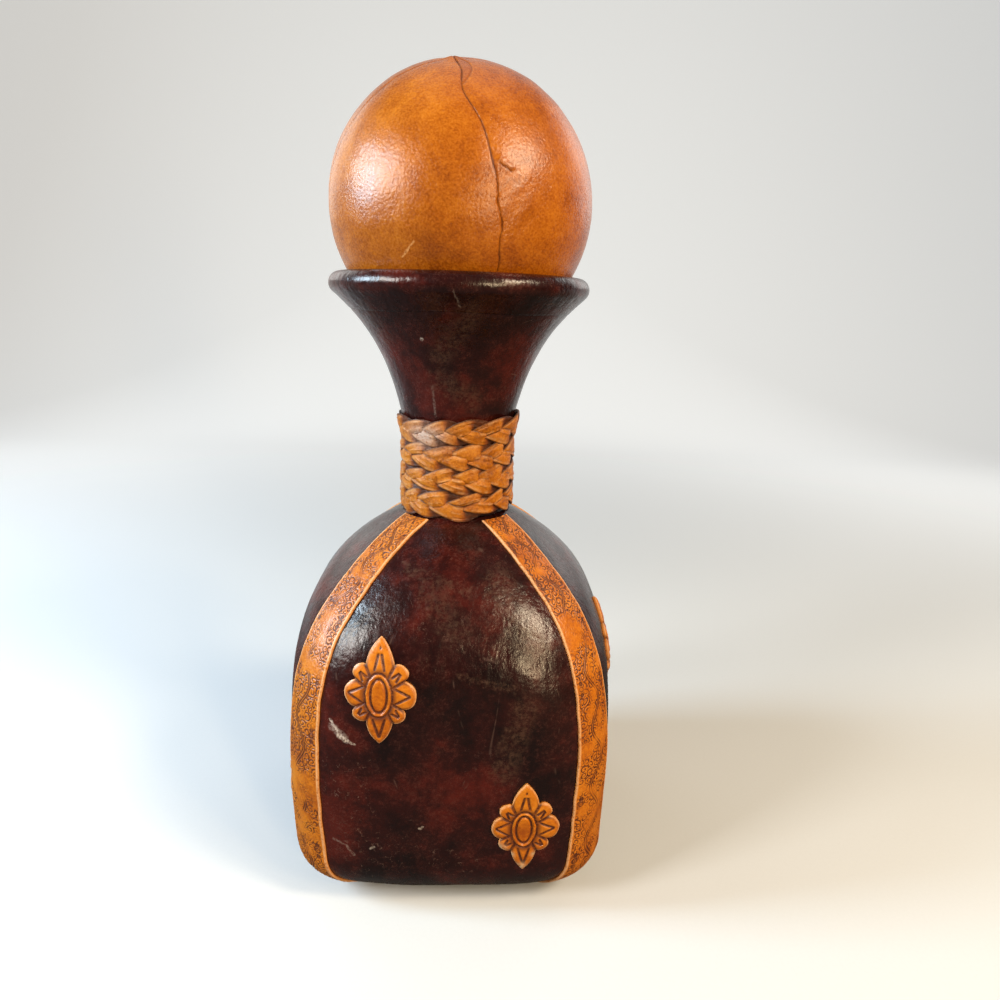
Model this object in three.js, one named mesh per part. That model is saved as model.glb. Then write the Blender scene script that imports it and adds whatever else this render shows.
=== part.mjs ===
// Leather-wrapped decanter: a square glass bottle with a flared neck, dressed in glued leather, with
// tooled corner strips, embossed rosettes, a plaited collar and a leather-covered ball stopper.
// Millimetres, +Z up, front face towards -Y, origin on the table under the middle of the base.
import * as THREE from "three";

// Bottle, measured on the outside of its leather
const BODY_WIDTH = 105.2; // across two opposite faces, at the widest height
const WIDEST_HEIGHT = 61;
const SHOULDER_HEIGHT = 123; // where the shoulder runs into the neck
const SHOULDER_FULLNESS = 3.28; // power of the shoulder curve: higher is squarer
const BASE_TAPER = 2; // how far each face draws in from the widest height to the base
const BASE_ROUND = 18; // radius where the faces turn under
const CORNER_POWER = 5; // superellipse power of the square section: 2 is a circle
const CORNER_HEIGHT = 41; // up to here the section is at its squarest
const NECK_DIAMETER = 34.4;
const RIM_DIAMETER = 82;
const LIP_HEIGHT = 198.4; // top of the rim above the table
const FLARE_LENGTH = 45; // height of the flare from the straight neck to the lip
const FLARE_LINEAR = 0.39; // share of the flare that is a straight cone, the rest is cubic

// Walls, leather and the gaps that glue fills
const GLASS_WALL = 3;
const GLASS_LIP = 4; // thickness of the rounded glass lip
const LEATHER = 1.2;
const GLUE = 0.3; // between any two glued layers
const PANEL_SEAM = 0.5; // between neighbouring panels, hidden under a corner strip
const FOLD_UNDER = 5; // how far the panels reach in under the base
const PAD_THICKNESS = 1.6;
const PAD_INSET = 2.6; // pad edge, in from where the base starts to turn up
const BINDING_SKIRT = 5; // rim binding below the lip, outside
const BINDING_TUCK = 14; // rim binding below the lip, inside
const TUCK_START = 1; // where the binding is back on the glass, below the lip, inside

// Tooled corner strips
const STRIP_WIDTH_BASE = 18;
const STRIP_WIDTH_NECK = 11.4;
const STRIP_STOP = 2.4; // strip end, below the top of the shoulder

// Embossed rosettes: upper left and lower right on every face, glued on by eye
const ROSETTE_WIDTH = 21.2;
const ROSETTE_HEIGHT = 33;
const ROSETTE_LEATHER = 1; // thickness in the grooves
const ROSETTE_RELIEF = 0.8; // how far the embossing stands above the grooves
const UPPER_ROSETTE = { side: -1, inset: 32.1, z: 79 }; // inset from the face's side, height above the table
const LOWER_ROSETTE = { side: 1, inset: 29.1, z: 34 };
const ROSETTE_SHIFT = { right: 6, left: -3.5 }; // upper rosettes that sit off their place, across the face
const PETAL_NOTCH = 0.62; // reach between the petals, as a share of a long petal's
const SHORT_PETAL = 0.78; // reach of the petals on the diagonals
const PETAL_POINT = 6; // higher makes the petals narrower
const OVAL_RIM = 0.52; // raised oval in the middle, its groove and its dome, as shares of the reach
const OVAL_GROOVE = 0.42;
const OVAL_DOME = 0.32;

// Plaited collar: three laces, plaited flat and wound round the neck
const LACES = 3;
const LACE_WIDTH = 2.5;
const LACE_THICKNESS = 0.75;
const LACE_GAP = 0.35; // between laces where one crosses over another
const LACE_STEP = 0.08; // half of a lace's step from under to over, in quarters of its swing
const PLAIT_SWING = 0.92; // sideways swing of a lace to each side, in lace widths
const PLAITS_PER_TURN = 4;
const COLLAR_TURNS = 4; // passes across the front
const TURN_GAP = 0.5; // between one turn of the plait and the next
const COLLAR_OPEN = 0.15; // part of a turn left out at each end, at the back
const COLLAR_DROP = 0.6; // collar's lowest edge, below the top of the shoulder

// Ball stopper
const BALL_DIAMETER = 80.6;
const BALL_LEATHER = 1.9;
const GORES = 4;
const GORE_SEAM = 0.5;
const SEAM_TURN = 16; // degrees from the front to the first seam, towards +X
const CROWN_HOLE = 1.4; // across the point where the gores meet on top
const STEM_DIAMETER = 12;
const STEM_SOCKET = 16; // depth of the stem's hole in the ball
const GORE_TRIM = 3; // gores end this far outside the stem
const CORK_LENGTH = 24;
const CORK_RISE = 8; // cork's lower end above the shoulder
const CORK_TAPER = 0.8; // on the radius, from top to bottom
const CORK_BITE = 16; // depth of the stem's hole in the cork
const CORK_CHAMFER = 1;
const FIT = 0.3; // clearance of the cork in the neck, of the stem in its holes, of the ball on the rim

// Facets
const ROUND_SEGMENTS = 32;
const FACE_CELLS = ROUND_SEGMENTS / 4;
const SMALL_SEGMENTS = 24; // round pieces of the stopper, under its leather
const TURN_CELLS = 4; // rows of facets up the body, stage by stage
const SIDE_CELLS = 2;
const SHOULDER_CELLS = 7;
const FLARE_CELLS = 5;
const LIP_CELLS = 6;
const STRIP_CELLS = 4; // across a corner strip
const ROSETTE_POINTS = 24;
const GORE_ROWS = 12;

const RIGHT_ANGLE = Math.PI / 2;
const FULL_TURN = 2 * Math.PI;
const STEP = 1e-4; // for slopes and normals taken by differences

// Where the stages of the body's profile begin: the fold under the base, the turn up from it, the side,
// the shoulder, and the neck.
const STAGE = { fold: 0, turn: 1, side: 2, shoulder: 3, neck: 4 };

// Values worked out from the driving dimensions
const wide = BODY_WIDTH / 2;
const neckRadius = NECK_DIAMETER / 2;
const skinBase = PAD_THICKNESS + GLUE;
const glassOut = -(LEATHER + GLUE);
const glassIn = glassOut - GLASS_WALL;
const floorWidth = sideWidth(skinBase + BASE_ROUND) - BASE_ROUND;
const lipRound = GLASS_LIP / 2 + GLUE + LEATHER;
const rim = rimCentre();
const ballRadius = BALL_DIAMETER / 2;
const ballHeight = rim.z + Math.sqrt((ballRadius + lipRound + FIT) ** 2 - rim.r ** 2);

function smooth(x) {
  const t = THREE.MathUtils.clamp(x, 0, 1);
  return t * t * (3 - 2 * t);
}

// Half the width across the faces below the widest height: a slow parabolic draw towards the base.
function sideWidth(z) {
  return wide - BASE_TAPER * ((WIDEST_HEIGHT - z) / WIDEST_HEIGHT) ** 2;
}

// Half width and height along a face: each stage of the profile is one step of v.
function profile(v) {
  if (v < STAGE.turn) {
    return { w: floorWidth - FOLD_UNDER * (STAGE.turn - v), z: skinBase };
  }
  if (v < STAGE.side) {
    const turn = (v - STAGE.turn) * RIGHT_ANGLE;
    return { w: floorWidth + BASE_ROUND * Math.sin(turn), z: skinBase + BASE_ROUND * (1 - Math.cos(turn)) };
  }
  if (v < STAGE.shoulder) {
    const z = THREE.MathUtils.lerp(skinBase + BASE_ROUND, WIDEST_HEIGHT, v - STAGE.side);
    return { w: sideWidth(z), z };
  }
  const rise = v - STAGE.shoulder;
  const w = neckRadius + (wide - neckRadius) * (1 - rise ** SHOULDER_FULLNESS);
  return { w, z: THREE.MathUtils.lerp(WIDEST_HEIGHT, SHOULDER_HEIGHT, rise) };
}

// Where along the profile a height on the side or the shoulder lies.
function profileAt(z) {
  if (z > WIDEST_HEIGHT) {
    return STAGE.shoulder + (z - WIDEST_HEIGHT) / (SHOULDER_HEIGHT - WIDEST_HEIGHT);
  }
  const roundTop = skinBase + BASE_ROUND;
  if (z > roundTop) {
    return STAGE.side + (z - roundTop) / (WIDEST_HEIGHT - roundTop);
  }
  return STAGE.turn + Math.acos((roundTop - z) / BASE_ROUND) / RIGHT_ANGLE;
}

function squareness(z) {
  return smooth((SHOULDER_HEIGHT - z) / (SHOULDER_HEIGHT - CORNER_HEIGHT));
}

function cornerPower(z) {
  return 2 + (CORNER_POWER - 2) * squareness(z);
}

// A point on the outside of the leather: a superellipse section, turned from the front towards +X.
function skinPoint(angle, v) {
  const { w, z } = profile(v);
  const n = cornerPower(z);
  const r = w / (Math.abs(Math.cos(angle)) ** n + Math.abs(Math.sin(angle)) ** n) ** (1 / n);
  return new THREE.Vector3(r * Math.sin(angle), -r * Math.cos(angle), z);
}

// The same point, lifted along the outward normal.
function bodyPoint(angle, v, lift) {
  const around = skinPoint(angle + STEP, v).sub(skinPoint(angle - STEP, v));
  const along = skinPoint(angle, v + STEP).sub(skinPoint(angle, v - STEP));
  const normal = around.cross(along).normalize();
  return skinPoint(angle, v).addScaledVector(normal, lift);
}

// The angle that lies a given distance round the section from another angle.
function angleAlong(start, v, distance) {
  const steps = 24;
  let angle = start;
  for (let i = 0; i < steps; i += 1) {
    const speed = skinPoint(angle + STEP, v).distanceTo(skinPoint(angle - STEP, v)) / (2 * STEP);
    angle += distance / steps / speed;
  }
  return angle;
}

// Stations across a face, -1 to 1: crowded at the corners of a square section, even round a circle.
function faceAngle(u, z) {
  const crowded = Math.sin(u * RIGHT_ANGLE);
  return (RIGHT_ANGLE / 2) * THREE.MathUtils.lerp(u, crowded, squareness(z));
}

function span(count, from, to) {
  return Array.from({ length: count + 1 }, (_, i) => THREE.MathUtils.lerp(from, to, i / count));
}

// Rows along the profile, shared by every layer on the body so that their facets lie parallel.
const turnRows = span(TURN_CELLS, STAGE.turn, STAGE.side);
const sideRows = span(SIDE_CELLS, STAGE.side, STAGE.shoulder).slice(1);
const shoulderRows = span(SHOULDER_CELLS, STAGE.shoulder, STAGE.neck).slice(1);
const bodyRows = [STAGE.fold, ...turnRows, ...sideRows, ...shoulderRows];

// The flared neck outside its leather: straight, then a cone that opens into a trumpet.
function neckSkin(z) {
  const x = Math.max(0, (z - rim.flareStart) / FLARE_LENGTH);
  return neckRadius + (rim.skinEnd - neckRadius) * (FLARE_LINEAR * x + (1 - FLARE_LINEAR) * x ** 3);
}

// The rim's round lip sits on the end of the flare, so that the skin runs into it without a kink.
function rimCentre() {
  const rimRadius = RIM_DIAMETER / 2;
  let skinEnd = rimRadius;
  let lean = 0;
  for (let i = 0; i < 20; i += 1) {
    const slope = ((skinEnd - neckRadius) * (3 - 2 * FLARE_LINEAR)) / FLARE_LENGTH;
    lean = Math.atan(slope);
    skinEnd = rimRadius - lipRound * (1 - Math.cos(lean));
  }
  const z = LIP_HEIGHT - lipRound;
  const flareStart = z - lipRound * Math.sin(lean) - FLARE_LENGTH;
  return { r: rimRadius - lipRound, z, lean, skinEnd, flareStart };
}

// A point of the neck wall's section, lifted from the outside of the leather.
function neckPoint(z, lift) {
  const lean = Math.atan2(neckSkin(z + STEP) - neckSkin(z - STEP), 2 * STEP);
  return new THREE.Vector2(neckSkin(z) + lift * Math.cos(lean), z - lift * Math.sin(lean));
}

// The round of the lip at a given radius, from outside over the top to inside.
function lipArc(radius, cells) {
  return span(cells, -rim.lean, Math.PI - rim.lean).map(
    (turn) => new THREE.Vector2(rim.r + radius * Math.cos(turn), rim.z + radius * Math.sin(turn)),
  );
}

// A closed surface through rings of points that run anticlockwise as seen from the end they lead to.
// A ring of one point closes that end. Ladder rings, there and back, are closed by rungs.
function loft(rings, ladder = false) {
  const width = Math.max(...rings.map((ring) => ring.length));
  const corners = [];
  const at = (ring, j) => ring[j % ring.length];
  for (let i = 0; i + 1 < rings.length; i += 1) {
    for (let j = 0; j < width; j += 1) {
      const [a, b] = [at(rings[i], j), at(rings[i], j + 1)];
      const [c, d] = [at(rings[i + 1], j + 1), at(rings[i + 1], j)];
      if (rings[i].length > 1) corners.push(a, b, c);
      if (rings[i + 1].length > 1) corners.push(a, c, d);
    }
  }
  if (ladder) {
    const first = rings[0];
    const last = rings[rings.length - 1];
    for (let j = 0; j + 1 < width / 2; j += 1) {
      const k = width - 1 - j;
      corners.push(first[j], first[k], first[k - 1], first[j], first[k - 1], first[j + 1]);
      corners.push(last[j], last[j + 1], last[k - 1], last[j], last[k - 1], last[k]);
    }
  }
  return new THREE.BufferGeometry().setFromPoints(corners);
}

// A sheet with thickness: each row runs along its outside and back along its inside.
function sheet(rows, columns, point) {
  const rings = rows.map((v) => {
    const outside = columns.map((u) => point(u, v, true));
    const inside = columns.map((u) => point(u, v, false));
    return [...outside, ...inside.reverse()];
  });
  return loft(rings, true);
}

function turned(points, segments) {
  return new THREE.LatheGeometry(points, segments).rotateX(RIGHT_ANGLE);
}

function closed(points) {
  return [...points, points[0].clone()];
}

const leatherDark = new THREE.MeshStandardMaterial({ color: 0x3a1713, roughness: 0.38, metalness: 0 });
const leatherTan = new THREE.MeshStandardMaterial({ color: 0xc8742a, roughness: 0.45, metalness: 0 });
const leatherBall = new THREE.MeshStandardMaterial({ color: 0xb5622a, roughness: 0.35, metalness: 0 });
const leatherPad = new THREE.MeshStandardMaterial({ color: 0x4a2a1c, roughness: 0.7, metalness: 0 });
const clearGlass = new THREE.MeshStandardMaterial({ color: 0x8fb39a, roughness: 0.05, metalness: 0 });
const wood = new THREE.MeshStandardMaterial({ color: 0xc79a63, roughness: 0.6, metalness: 0 });
const corkwood = new THREE.MeshStandardMaterial({ color: 0xb98d5c, roughness: 0.85, metalness: 0 });

const decanter = new THREE.Group();
const bottle = new THREE.Group();
const stopper = new THREE.Group();
decanter.add(bottle, stopper);

function piece(group, name, geometry, material) {
  const mesh = new THREE.Mesh(geometry, material);
  mesh.name = name;
  group.add(mesh);
  return mesh;
}

// Glass bottle: up the outside, over the lip, down the inside
function ringOnBody(v, lift) {
  const { z } = profile(v);
  const ring = [];
  for (let face = 0; face < 4; face += 1) {
    for (let i = 0; i < FACE_CELLS; i += 1) {
      const u = (2 * i) / FACE_CELLS - 1;
      ring.push(bodyPoint(face * RIGHT_ANGLE + faceAngle(u, z), v, lift));
    }
  }
  return ring;
}

function ringAt({ x: r, y: z }) {
  const ring = [];
  for (let i = 0; i < ROUND_SEGMENTS; i += 1) {
    const angle = (i / ROUND_SEGMENTS) * FULL_TURN - RIGHT_ANGLE / 2;
    ring.push(new THREE.Vector3(r * Math.sin(angle), -r * Math.cos(angle), z));
  }
  return ring;
}

function glassBottle() {
  const flareEnd = rim.flareStart + FLARE_LENGTH;
  const neckRows = [SHOULDER_HEIGHT, ...span(FLARE_CELLS, rim.flareStart, flareEnd)];
  const outside = neckRows.map((z) => ringAt(neckPoint(z, glassOut)));
  const inside = neckRows.map((z) => ringAt(neckPoint(z, glassIn))).reverse();
  const middle = (lift) => [new THREE.Vector3(0, 0, skinBase - lift)];
  return loft([
    middle(glassOut),
    ...bodyRows.map((v) => ringOnBody(v, glassOut)),
    ...outside,
    ...lipArc(GLASS_LIP / 2, LIP_CELLS).slice(1, -1).map(ringAt),
    ...inside,
    ...bodyRows.map((v) => ringOnBody(v, glassIn)).reverse(),
    middle(glassIn),
  ]);
}
piece(bottle, "glass_bottle", glassBottle(), clearGlass);

// Leather panels: one to a face, meeting under the corner strips and folded under the base
const FACES = ["front", "right", "back", "left"];
const faceColumns = span(FACE_CELLS, -1, 1);

function panel(face) {
  return sheet(bodyRows, faceColumns, (u, v, outer) => {
    const corner = skinPoint(RIGHT_ANGLE / 2, v);
    const trim = PANEL_SEAM / Math.hypot(corner.x, corner.y) / RIGHT_ANGLE;
    const angle = face * RIGHT_ANGLE + faceAngle(u, profile(v).z) * (1 - trim);
    return bodyPoint(angle, v, outer ? 0 : -LEATHER);
  });
}
FACES.forEach((side, face) => piece(bottle, `${side}_panel`, panel(face), leatherDark));

// Base pad: the flat that the decanter stands on
function basePad() {
  const half = floorWidth - PAD_INSET;
  const n = CORNER_POWER;
  const outline = span(ROUND_SEGMENTS, 0, FULL_TURN).map((angle) => {
    const r = half / (Math.abs(Math.cos(angle)) ** n + Math.abs(Math.sin(angle)) ** n) ** (1 / n);
    return new THREE.Vector2(r * Math.cos(angle), r * Math.sin(angle));
  });
  const shape = new THREE.Shape(outline.slice(0, -1));
  return new THREE.ExtrudeGeometry(shape, { depth: PAD_THICKNESS, bevelEnabled: false });
}
piece(bottle, "base_pad", basePad(), leatherPad);

// Corner strips: glued over the panel seams, wide at the base and narrow at the neck
function cornerStrip(corner) {
  const stop = profileAt(SHOULDER_HEIGHT - STRIP_STOP);
  const rows = [...bodyRows.filter((v) => v >= STAGE.turn && v < stop), stop];
  const middle = (corner - 0.5) * RIGHT_ANGLE;
  return sheet(rows, span(STRIP_CELLS, -0.5, 0.5), (u, v, outer) => {
    const rise = (profile(v).z - skinBase) / (SHOULDER_HEIGHT - skinBase);
    const width = THREE.MathUtils.lerp(STRIP_WIDTH_BASE, STRIP_WIDTH_NECK, rise);
    return bodyPoint(angleAlong(middle, v, u * width), v, outer ? GLUE + LEATHER : GLUE);
  });
}
const CORNERS = ["front_left", "front_right", "back_right", "back_left"];
CORNERS.forEach((place, corner) => piece(bottle, `corner_strip_${place}`, cornerStrip(corner), leatherTan));

// Rosettes: four long petals, four short ones between them, round a raised oval
function petalReach(turn) {
  const long = Math.abs(Math.cos(2 * turn)) ** PETAL_POINT;
  const short = Math.abs(Math.sin(2 * turn)) ** PETAL_POINT;
  return PETAL_NOTCH + (1 - PETAL_NOTCH) * long + (SHORT_PETAL - PETAL_NOTCH) * short;
}

function rosette(face, { side, inset, z: height }, shift = 0) {
  const middle = side * (wide - inset) + shift;
  const around = span(ROSETTE_POINTS, 0, FULL_TURN).slice(0, -1);
  const onFace = (x, z, lift) => {
    const v = profileAt(z);
    const n = cornerPower(z);
    const depth = (profile(v).w ** n - Math.abs(x) ** n) ** (1 / n);
    return bodyPoint(face * RIGHT_ANGLE + Math.atan2(x, depth), v, lift);
  };
  const ring = (reach, lift) =>
    around.map((turn) => {
      const across = (ROSETTE_WIDTH / 2) * reach(turn) * Math.cos(turn);
      const up = (ROSETTE_HEIGHT / 2) * reach(turn) * Math.sin(turn);
      return onFace(middle + across, height + up, lift);
    });
  const oval = (share) => () => share;
  const low = GLUE + ROSETTE_LEATHER;
  const high = low + ROSETTE_RELIEF;
  return loft([
    [onFace(middle, height, GLUE)],
    ring(oval(OVAL_RIM), GLUE),
    ring(petalReach, GLUE),
    ring(petalReach, low),
    ring(oval(OVAL_RIM), high - ROSETTE_RELIEF / 3),
    ring(oval(OVAL_GROOVE), low),
    ring(oval(OVAL_DOME), high),
    [onFace(middle, height, high)],
  ]);
}
FACES.forEach((side, face) => {
  piece(bottle, `${side}_upper_rosette`, rosette(face, UPPER_ROSETTE, ROSETTE_SHIFT[side]), leatherTan);
  piece(bottle, `${side}_lower_rosette`, rosette(face, LOWER_ROSETTE), leatherTan);
});

// Neck wrap and rim binding: turned sections that butt below the lip
const bindingEdge = rim.flareStart + FLARE_LENGTH - BINDING_SKIRT;

function neckWrap() {
  const straight = span(2, SHOULDER_HEIGHT + GLUE, rim.flareStart);
  const rows = [...straight, ...span(FLARE_CELLS, rim.flareStart, bindingEdge).slice(1)];
  const outside = rows.map((z) => neckPoint(z, 0));
  const inside = rows.map((z) => neckPoint(z, -LEATHER)).reverse();
  return turned(closed([...outside, ...inside]), ROUND_SEGMENTS);
}
piece(bottle, "neck_wrap", neckWrap(), leatherDark);

function rimBinding() {
  const flareEnd = rim.flareStart + FLARE_LENGTH;
  const skirt = [bindingEdge + GLUE, (bindingEdge + flareEnd) / 2];
  const tuck = span(2, flareEnd - TUCK_START, flareEnd - BINDING_TUCK);
  const face = [
    ...skirt.map((z) => neckPoint(z, 0)),
    ...lipArc(lipRound, LIP_CELLS),
    ...tuck.map((z) => neckPoint(z, glassIn - GLUE - LEATHER)),
  ];
  const back = [
    ...skirt.map((z) => neckPoint(z, -LEATHER)),
    ...lipArc(lipRound - LEATHER, LIP_CELLS),
    ...tuck.map((z) => neckPoint(z, glassIn - GLUE)),
  ];
  return turned(closed([...face, ...back.reverse()]), ROUND_SEGMENTS);
}
piece(bottle, "rim_binding", rimBinding(), leatherDark);

// Plaited collar: each lace swings from edge to edge of the plait and rides over and under the others
const swing = LACE_WIDTH * PLAIT_SWING;
const turnPitch = 2 * swing + LACE_WIDTH + TURN_GAP;
const ride = (LACE_THICKNESS + LACE_GAP) / 2;
const plaitRadius = neckRadius + GLUE + ride + LACE_THICKNESS / 2;
const phasePerMm = PLAITS_PER_TURN / plaitRadius;

// Height of the plait's middle after a number of turns: level at the front, climbing at the back.
function collarClimb(turns) {
  return turnPitch * (turns + Math.sin(FULL_TURN * turns) / (FULL_TURN));
}
const collarFoot = SHOULDER_HEIGHT - COLLAR_DROP + swing + LACE_WIDTH / 2 - collarClimb(COLLAR_OPEN);

// The surface that the collar lies on: the neck, and the top of the shoulder below it.
function collarBed(z) {
  return z < SHOULDER_HEIGHT ? profile(profileAt(z)).w : neckSkin(z);
}

// A corner of a lace's flat section at a phase of its swing. The section lies slantwise across the lace,
// along the edge of the lace that it crosses, so that wide laces step from under to over without touching.
function lacePoint(lace, phase, side, outer) {
  const offset = (side * LACE_WIDTH) / 2;
  const slanted = phase - phasePerMm * offset * Math.cos(phase);
  const turns = (slanted / (FULL_TURN) - lace / LACES) / PLAITS_PER_TURN;
  const slope = Math.atan(swing * Math.cos(slanted) * phasePerMm);
  const z = collarFoot + collarClimb(turns) + swing * Math.sin(slanted) + offset * Math.cos(slope);
  const rise = Math.sin(2 * phase) > 0 ? ride : -ride;
  const depth = outer ? LACE_THICKNESS / 2 : -LACE_THICKNESS / 2;
  const r = collarBed(z) + plaitRadius - neckRadius + rise + depth;
  const angle = FULL_TURN * (turns - 0.5) - (offset * Math.sin(slope)) / r;
  return new THREE.Vector3(r * Math.sin(angle), -r * Math.cos(angle), z);
}

function laceRings(lace) {
  const stations = [LACE_STEP, 0.5, 1 - LACE_STEP];
  const quarters = 4 * PLAITS_PER_TURN;
  const shift = (4 * lace) / LACES;
  const first = Math.ceil(COLLAR_OPEN * quarters + shift);
  const last = Math.floor((COLLAR_TURNS - COLLAR_OPEN) * quarters + shift);
  const rings = [];
  for (let quarter = first; quarter < last; quarter += 1) {
    for (const station of stations) {
      const phase = (quarter + station) * RIGHT_ANGLE;
      rings.push([
        lacePoint(lace, phase, -1, false),
        lacePoint(lace, phase, 1, false),
        lacePoint(lace, phase, 1, true),
        lacePoint(lace, phase, -1, true),
      ]);
    }
  }
  return rings;
}

// The least distance between points of one lace that lie at least half a turn apart along it.
function selfGap(rings) {
  const halfTurn = Math.round(rings.length / (COLLAR_TURNS - 2 * COLLAR_OPEN) / 2);
  let least = Infinity;
  for (let i = 0; i < rings.length; i += 1) {
    for (let j = i + halfTurn; j < rings.length; j += 1) {
      for (const p of rings[i]) {
        for (const q of rings[j]) least = Math.min(least, p.distanceTo(q));
      }
    }
  }
  return least;
}

for (let lace = 0; lace < LACES; lace += 1) {
  const rings = laceRings(lace);
  console.log(`collar_lace_${lace + 1}: least gap to itself ${selfGap(rings).toFixed(2)} mm`);
  piece(bottle, `collar_lace_${lace + 1}`, loft(rings, true), leatherTan);
}

// Ball stopper: a turned ball under leather gores, a stem, and a cork that seals the straight neck
const coreRadius = ballRadius - BALL_LEATHER - GLUE;
const stemRadius = STEM_DIAMETER / 2;
const boreRadius = neckRadius + glassIn;
const corkFoot = SHOULDER_HEIGHT + CORK_RISE;
const socketRadius = stemRadius + FIT;
const ballFoot = ballHeight - Math.sqrt(coreRadius ** 2 - socketRadius ** 2);
const stemTop = ballFoot + STEM_SOCKET - FIT;
const stemFoot = corkFoot + CORK_LENGTH - CORK_BITE + FIT;
const crownTurn = Math.asin(CROWN_HOLE / 2 / ballRadius);
const trimTurn = Math.PI - Math.asin((stemRadius + GORE_TRIM) / ballRadius);

function onBall(radius, turn) {
  return new THREE.Vector2(radius * Math.sin(turn), ballHeight + radius * Math.cos(turn));
}

function ballCore() {
  const socketTurn = Math.PI - Math.asin(socketRadius / coreRadius);
  const surface = span(GORE_ROWS, trimTurn, crownTurn).map((turn) => onBall(coreRadius, turn));
  const outline = [
    new THREE.Vector2(0, ballFoot + STEM_SOCKET),
    new THREE.Vector2(socketRadius, ballFoot + STEM_SOCKET),
    onBall(coreRadius, socketTurn),
    ...surface,
    new THREE.Vector2(0, ballHeight + coreRadius),
  ];
  return turned(outline, SMALL_SEGMENTS);
}
piece(stopper, "ball_core", ballCore(), wood);

// Gores: lens-shaped pieces of leather from the crown to the stem, seam to seam
function gore(index) {
  const width = (FULL_TURN) / GORES;
  const start = THREE.MathUtils.degToRad(SEAM_TURN) + index * width;
  const cells = Math.round(ROUND_SEGMENTS / GORES);
  return sheet(span(GORE_ROWS, trimTurn, crownTurn), span(cells, 0, 1), (u, turn, outer) => {
    const seam = GORE_SEAM / (ballRadius * Math.sin(turn));
    const trim = Math.min(seam, width / 2);
    const angle = start + trim / 2 + u * (width - trim);
    const at = onBall(outer ? ballRadius : ballRadius - BALL_LEATHER, turn);
    return new THREE.Vector3(at.x * Math.sin(angle), -at.x * Math.cos(angle), at.y);
  });
}
for (let index = 0; index < GORES; index += 1) {
  piece(stopper, `ball_gore_${index + 1}`, gore(index), leatherBall);
}

function stem() {
  const outline = [
    new THREE.Vector2(0, stemFoot),
    new THREE.Vector2(stemRadius, stemFoot),
    new THREE.Vector2(stemRadius, stemTop),
    new THREE.Vector2(0, stemTop),
  ];
  return turned(outline, SMALL_SEGMENTS);
}
piece(stopper, "stopper_stem", stem(), wood);

function cork() {
  const topRadius = boreRadius - FIT;
  const top = corkFoot + CORK_LENGTH;
  const outline = [
    new THREE.Vector2(0, corkFoot),
    new THREE.Vector2(topRadius - CORK_TAPER - CORK_CHAMFER, corkFoot),
    new THREE.Vector2(topRadius - CORK_TAPER, corkFoot + CORK_CHAMFER),
    new THREE.Vector2(topRadius, top - CORK_CHAMFER),
    new THREE.Vector2(topRadius - CORK_CHAMFER, top),
    new THREE.Vector2(socketRadius, top),
    new THREE.Vector2(socketRadius, top - CORK_BITE),
    new THREE.Vector2(0, top - CORK_BITE),
  ];
  return turned(outline, SMALL_SEGMENTS);
}
piece(stopper, "cork", cork(), corkwood);

export default decanter;
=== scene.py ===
"""Leather-wrapped decanter: glued leather, tooled strips, rosettes, a plaited collar and a ball stopper.

Shapes are worked out in millimetres in the part's own frame, +Z up and the front face towards -Y, and turned
into metres when a mesh is made. Angles round the decanter run from the front towards +X.
"""
import math

import bpy
import numpy as np
from mathutils import Matrix, Vector


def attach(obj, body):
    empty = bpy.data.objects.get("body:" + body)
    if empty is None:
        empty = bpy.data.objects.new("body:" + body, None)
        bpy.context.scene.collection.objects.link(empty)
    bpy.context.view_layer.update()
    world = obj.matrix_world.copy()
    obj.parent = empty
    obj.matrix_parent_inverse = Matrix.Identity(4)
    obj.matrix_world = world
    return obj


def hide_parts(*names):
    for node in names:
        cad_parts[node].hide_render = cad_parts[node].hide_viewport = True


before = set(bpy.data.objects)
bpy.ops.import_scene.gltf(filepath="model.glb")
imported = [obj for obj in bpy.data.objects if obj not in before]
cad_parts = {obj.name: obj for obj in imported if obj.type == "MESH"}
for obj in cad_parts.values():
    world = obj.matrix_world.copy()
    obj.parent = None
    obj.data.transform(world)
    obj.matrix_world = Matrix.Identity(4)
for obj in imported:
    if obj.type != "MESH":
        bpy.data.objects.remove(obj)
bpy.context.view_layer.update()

MM = 0.001
RIGHT_ANGLE = math.pi / 2
FULL_TURN = 2 * math.pi
STEP = 1e-4  # for slopes and normals taken by differences
SETTLING = 20  # rounds until two values that depend on each other settle

# Bottle, measured on the outside of its leather
BODY_WIDTH = 105.2
WIDEST_HEIGHT = 61
SHOULDER_HEIGHT = 123
SHOULDER_FULLNESS = 3.28
BASE_TAPER = 2
BASE_ROUND = 18
CORNER_POWER = 5
CORNER_HEIGHT = 41
NECK_DIAMETER = 34.4
RIM_DIAMETER = 82
LIP_HEIGHT = 198.4
FLARE_LENGTH = 45
FLARE_LINEAR = 0.39

# Walls and leather
GLASS_WALL = 3
GLASS_LIP = 4
LEATHER = 1.2
GLUE = 0.3
PANEL_SEAM = 0.5
FOLD_UNDER = 5
PAD_THICKNESS = 1.6
PAD_INSET = 2.6
BACK_SEAM = ((0.55, 0.4), (0.15, 2))  # of the neck: depth and width of a crease and of the dip round it
BINDING_SKIRT = 5
BINDING_GAP = 0.06  # between its edge and the neck wrap's
BINDING_TUCK = 14
TUCK_START = 1  # below the flare's end, where the binding comes back onto the glass
CUT_ROUND = 0.1  # of the neck wrap's and the binding's edge

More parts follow.
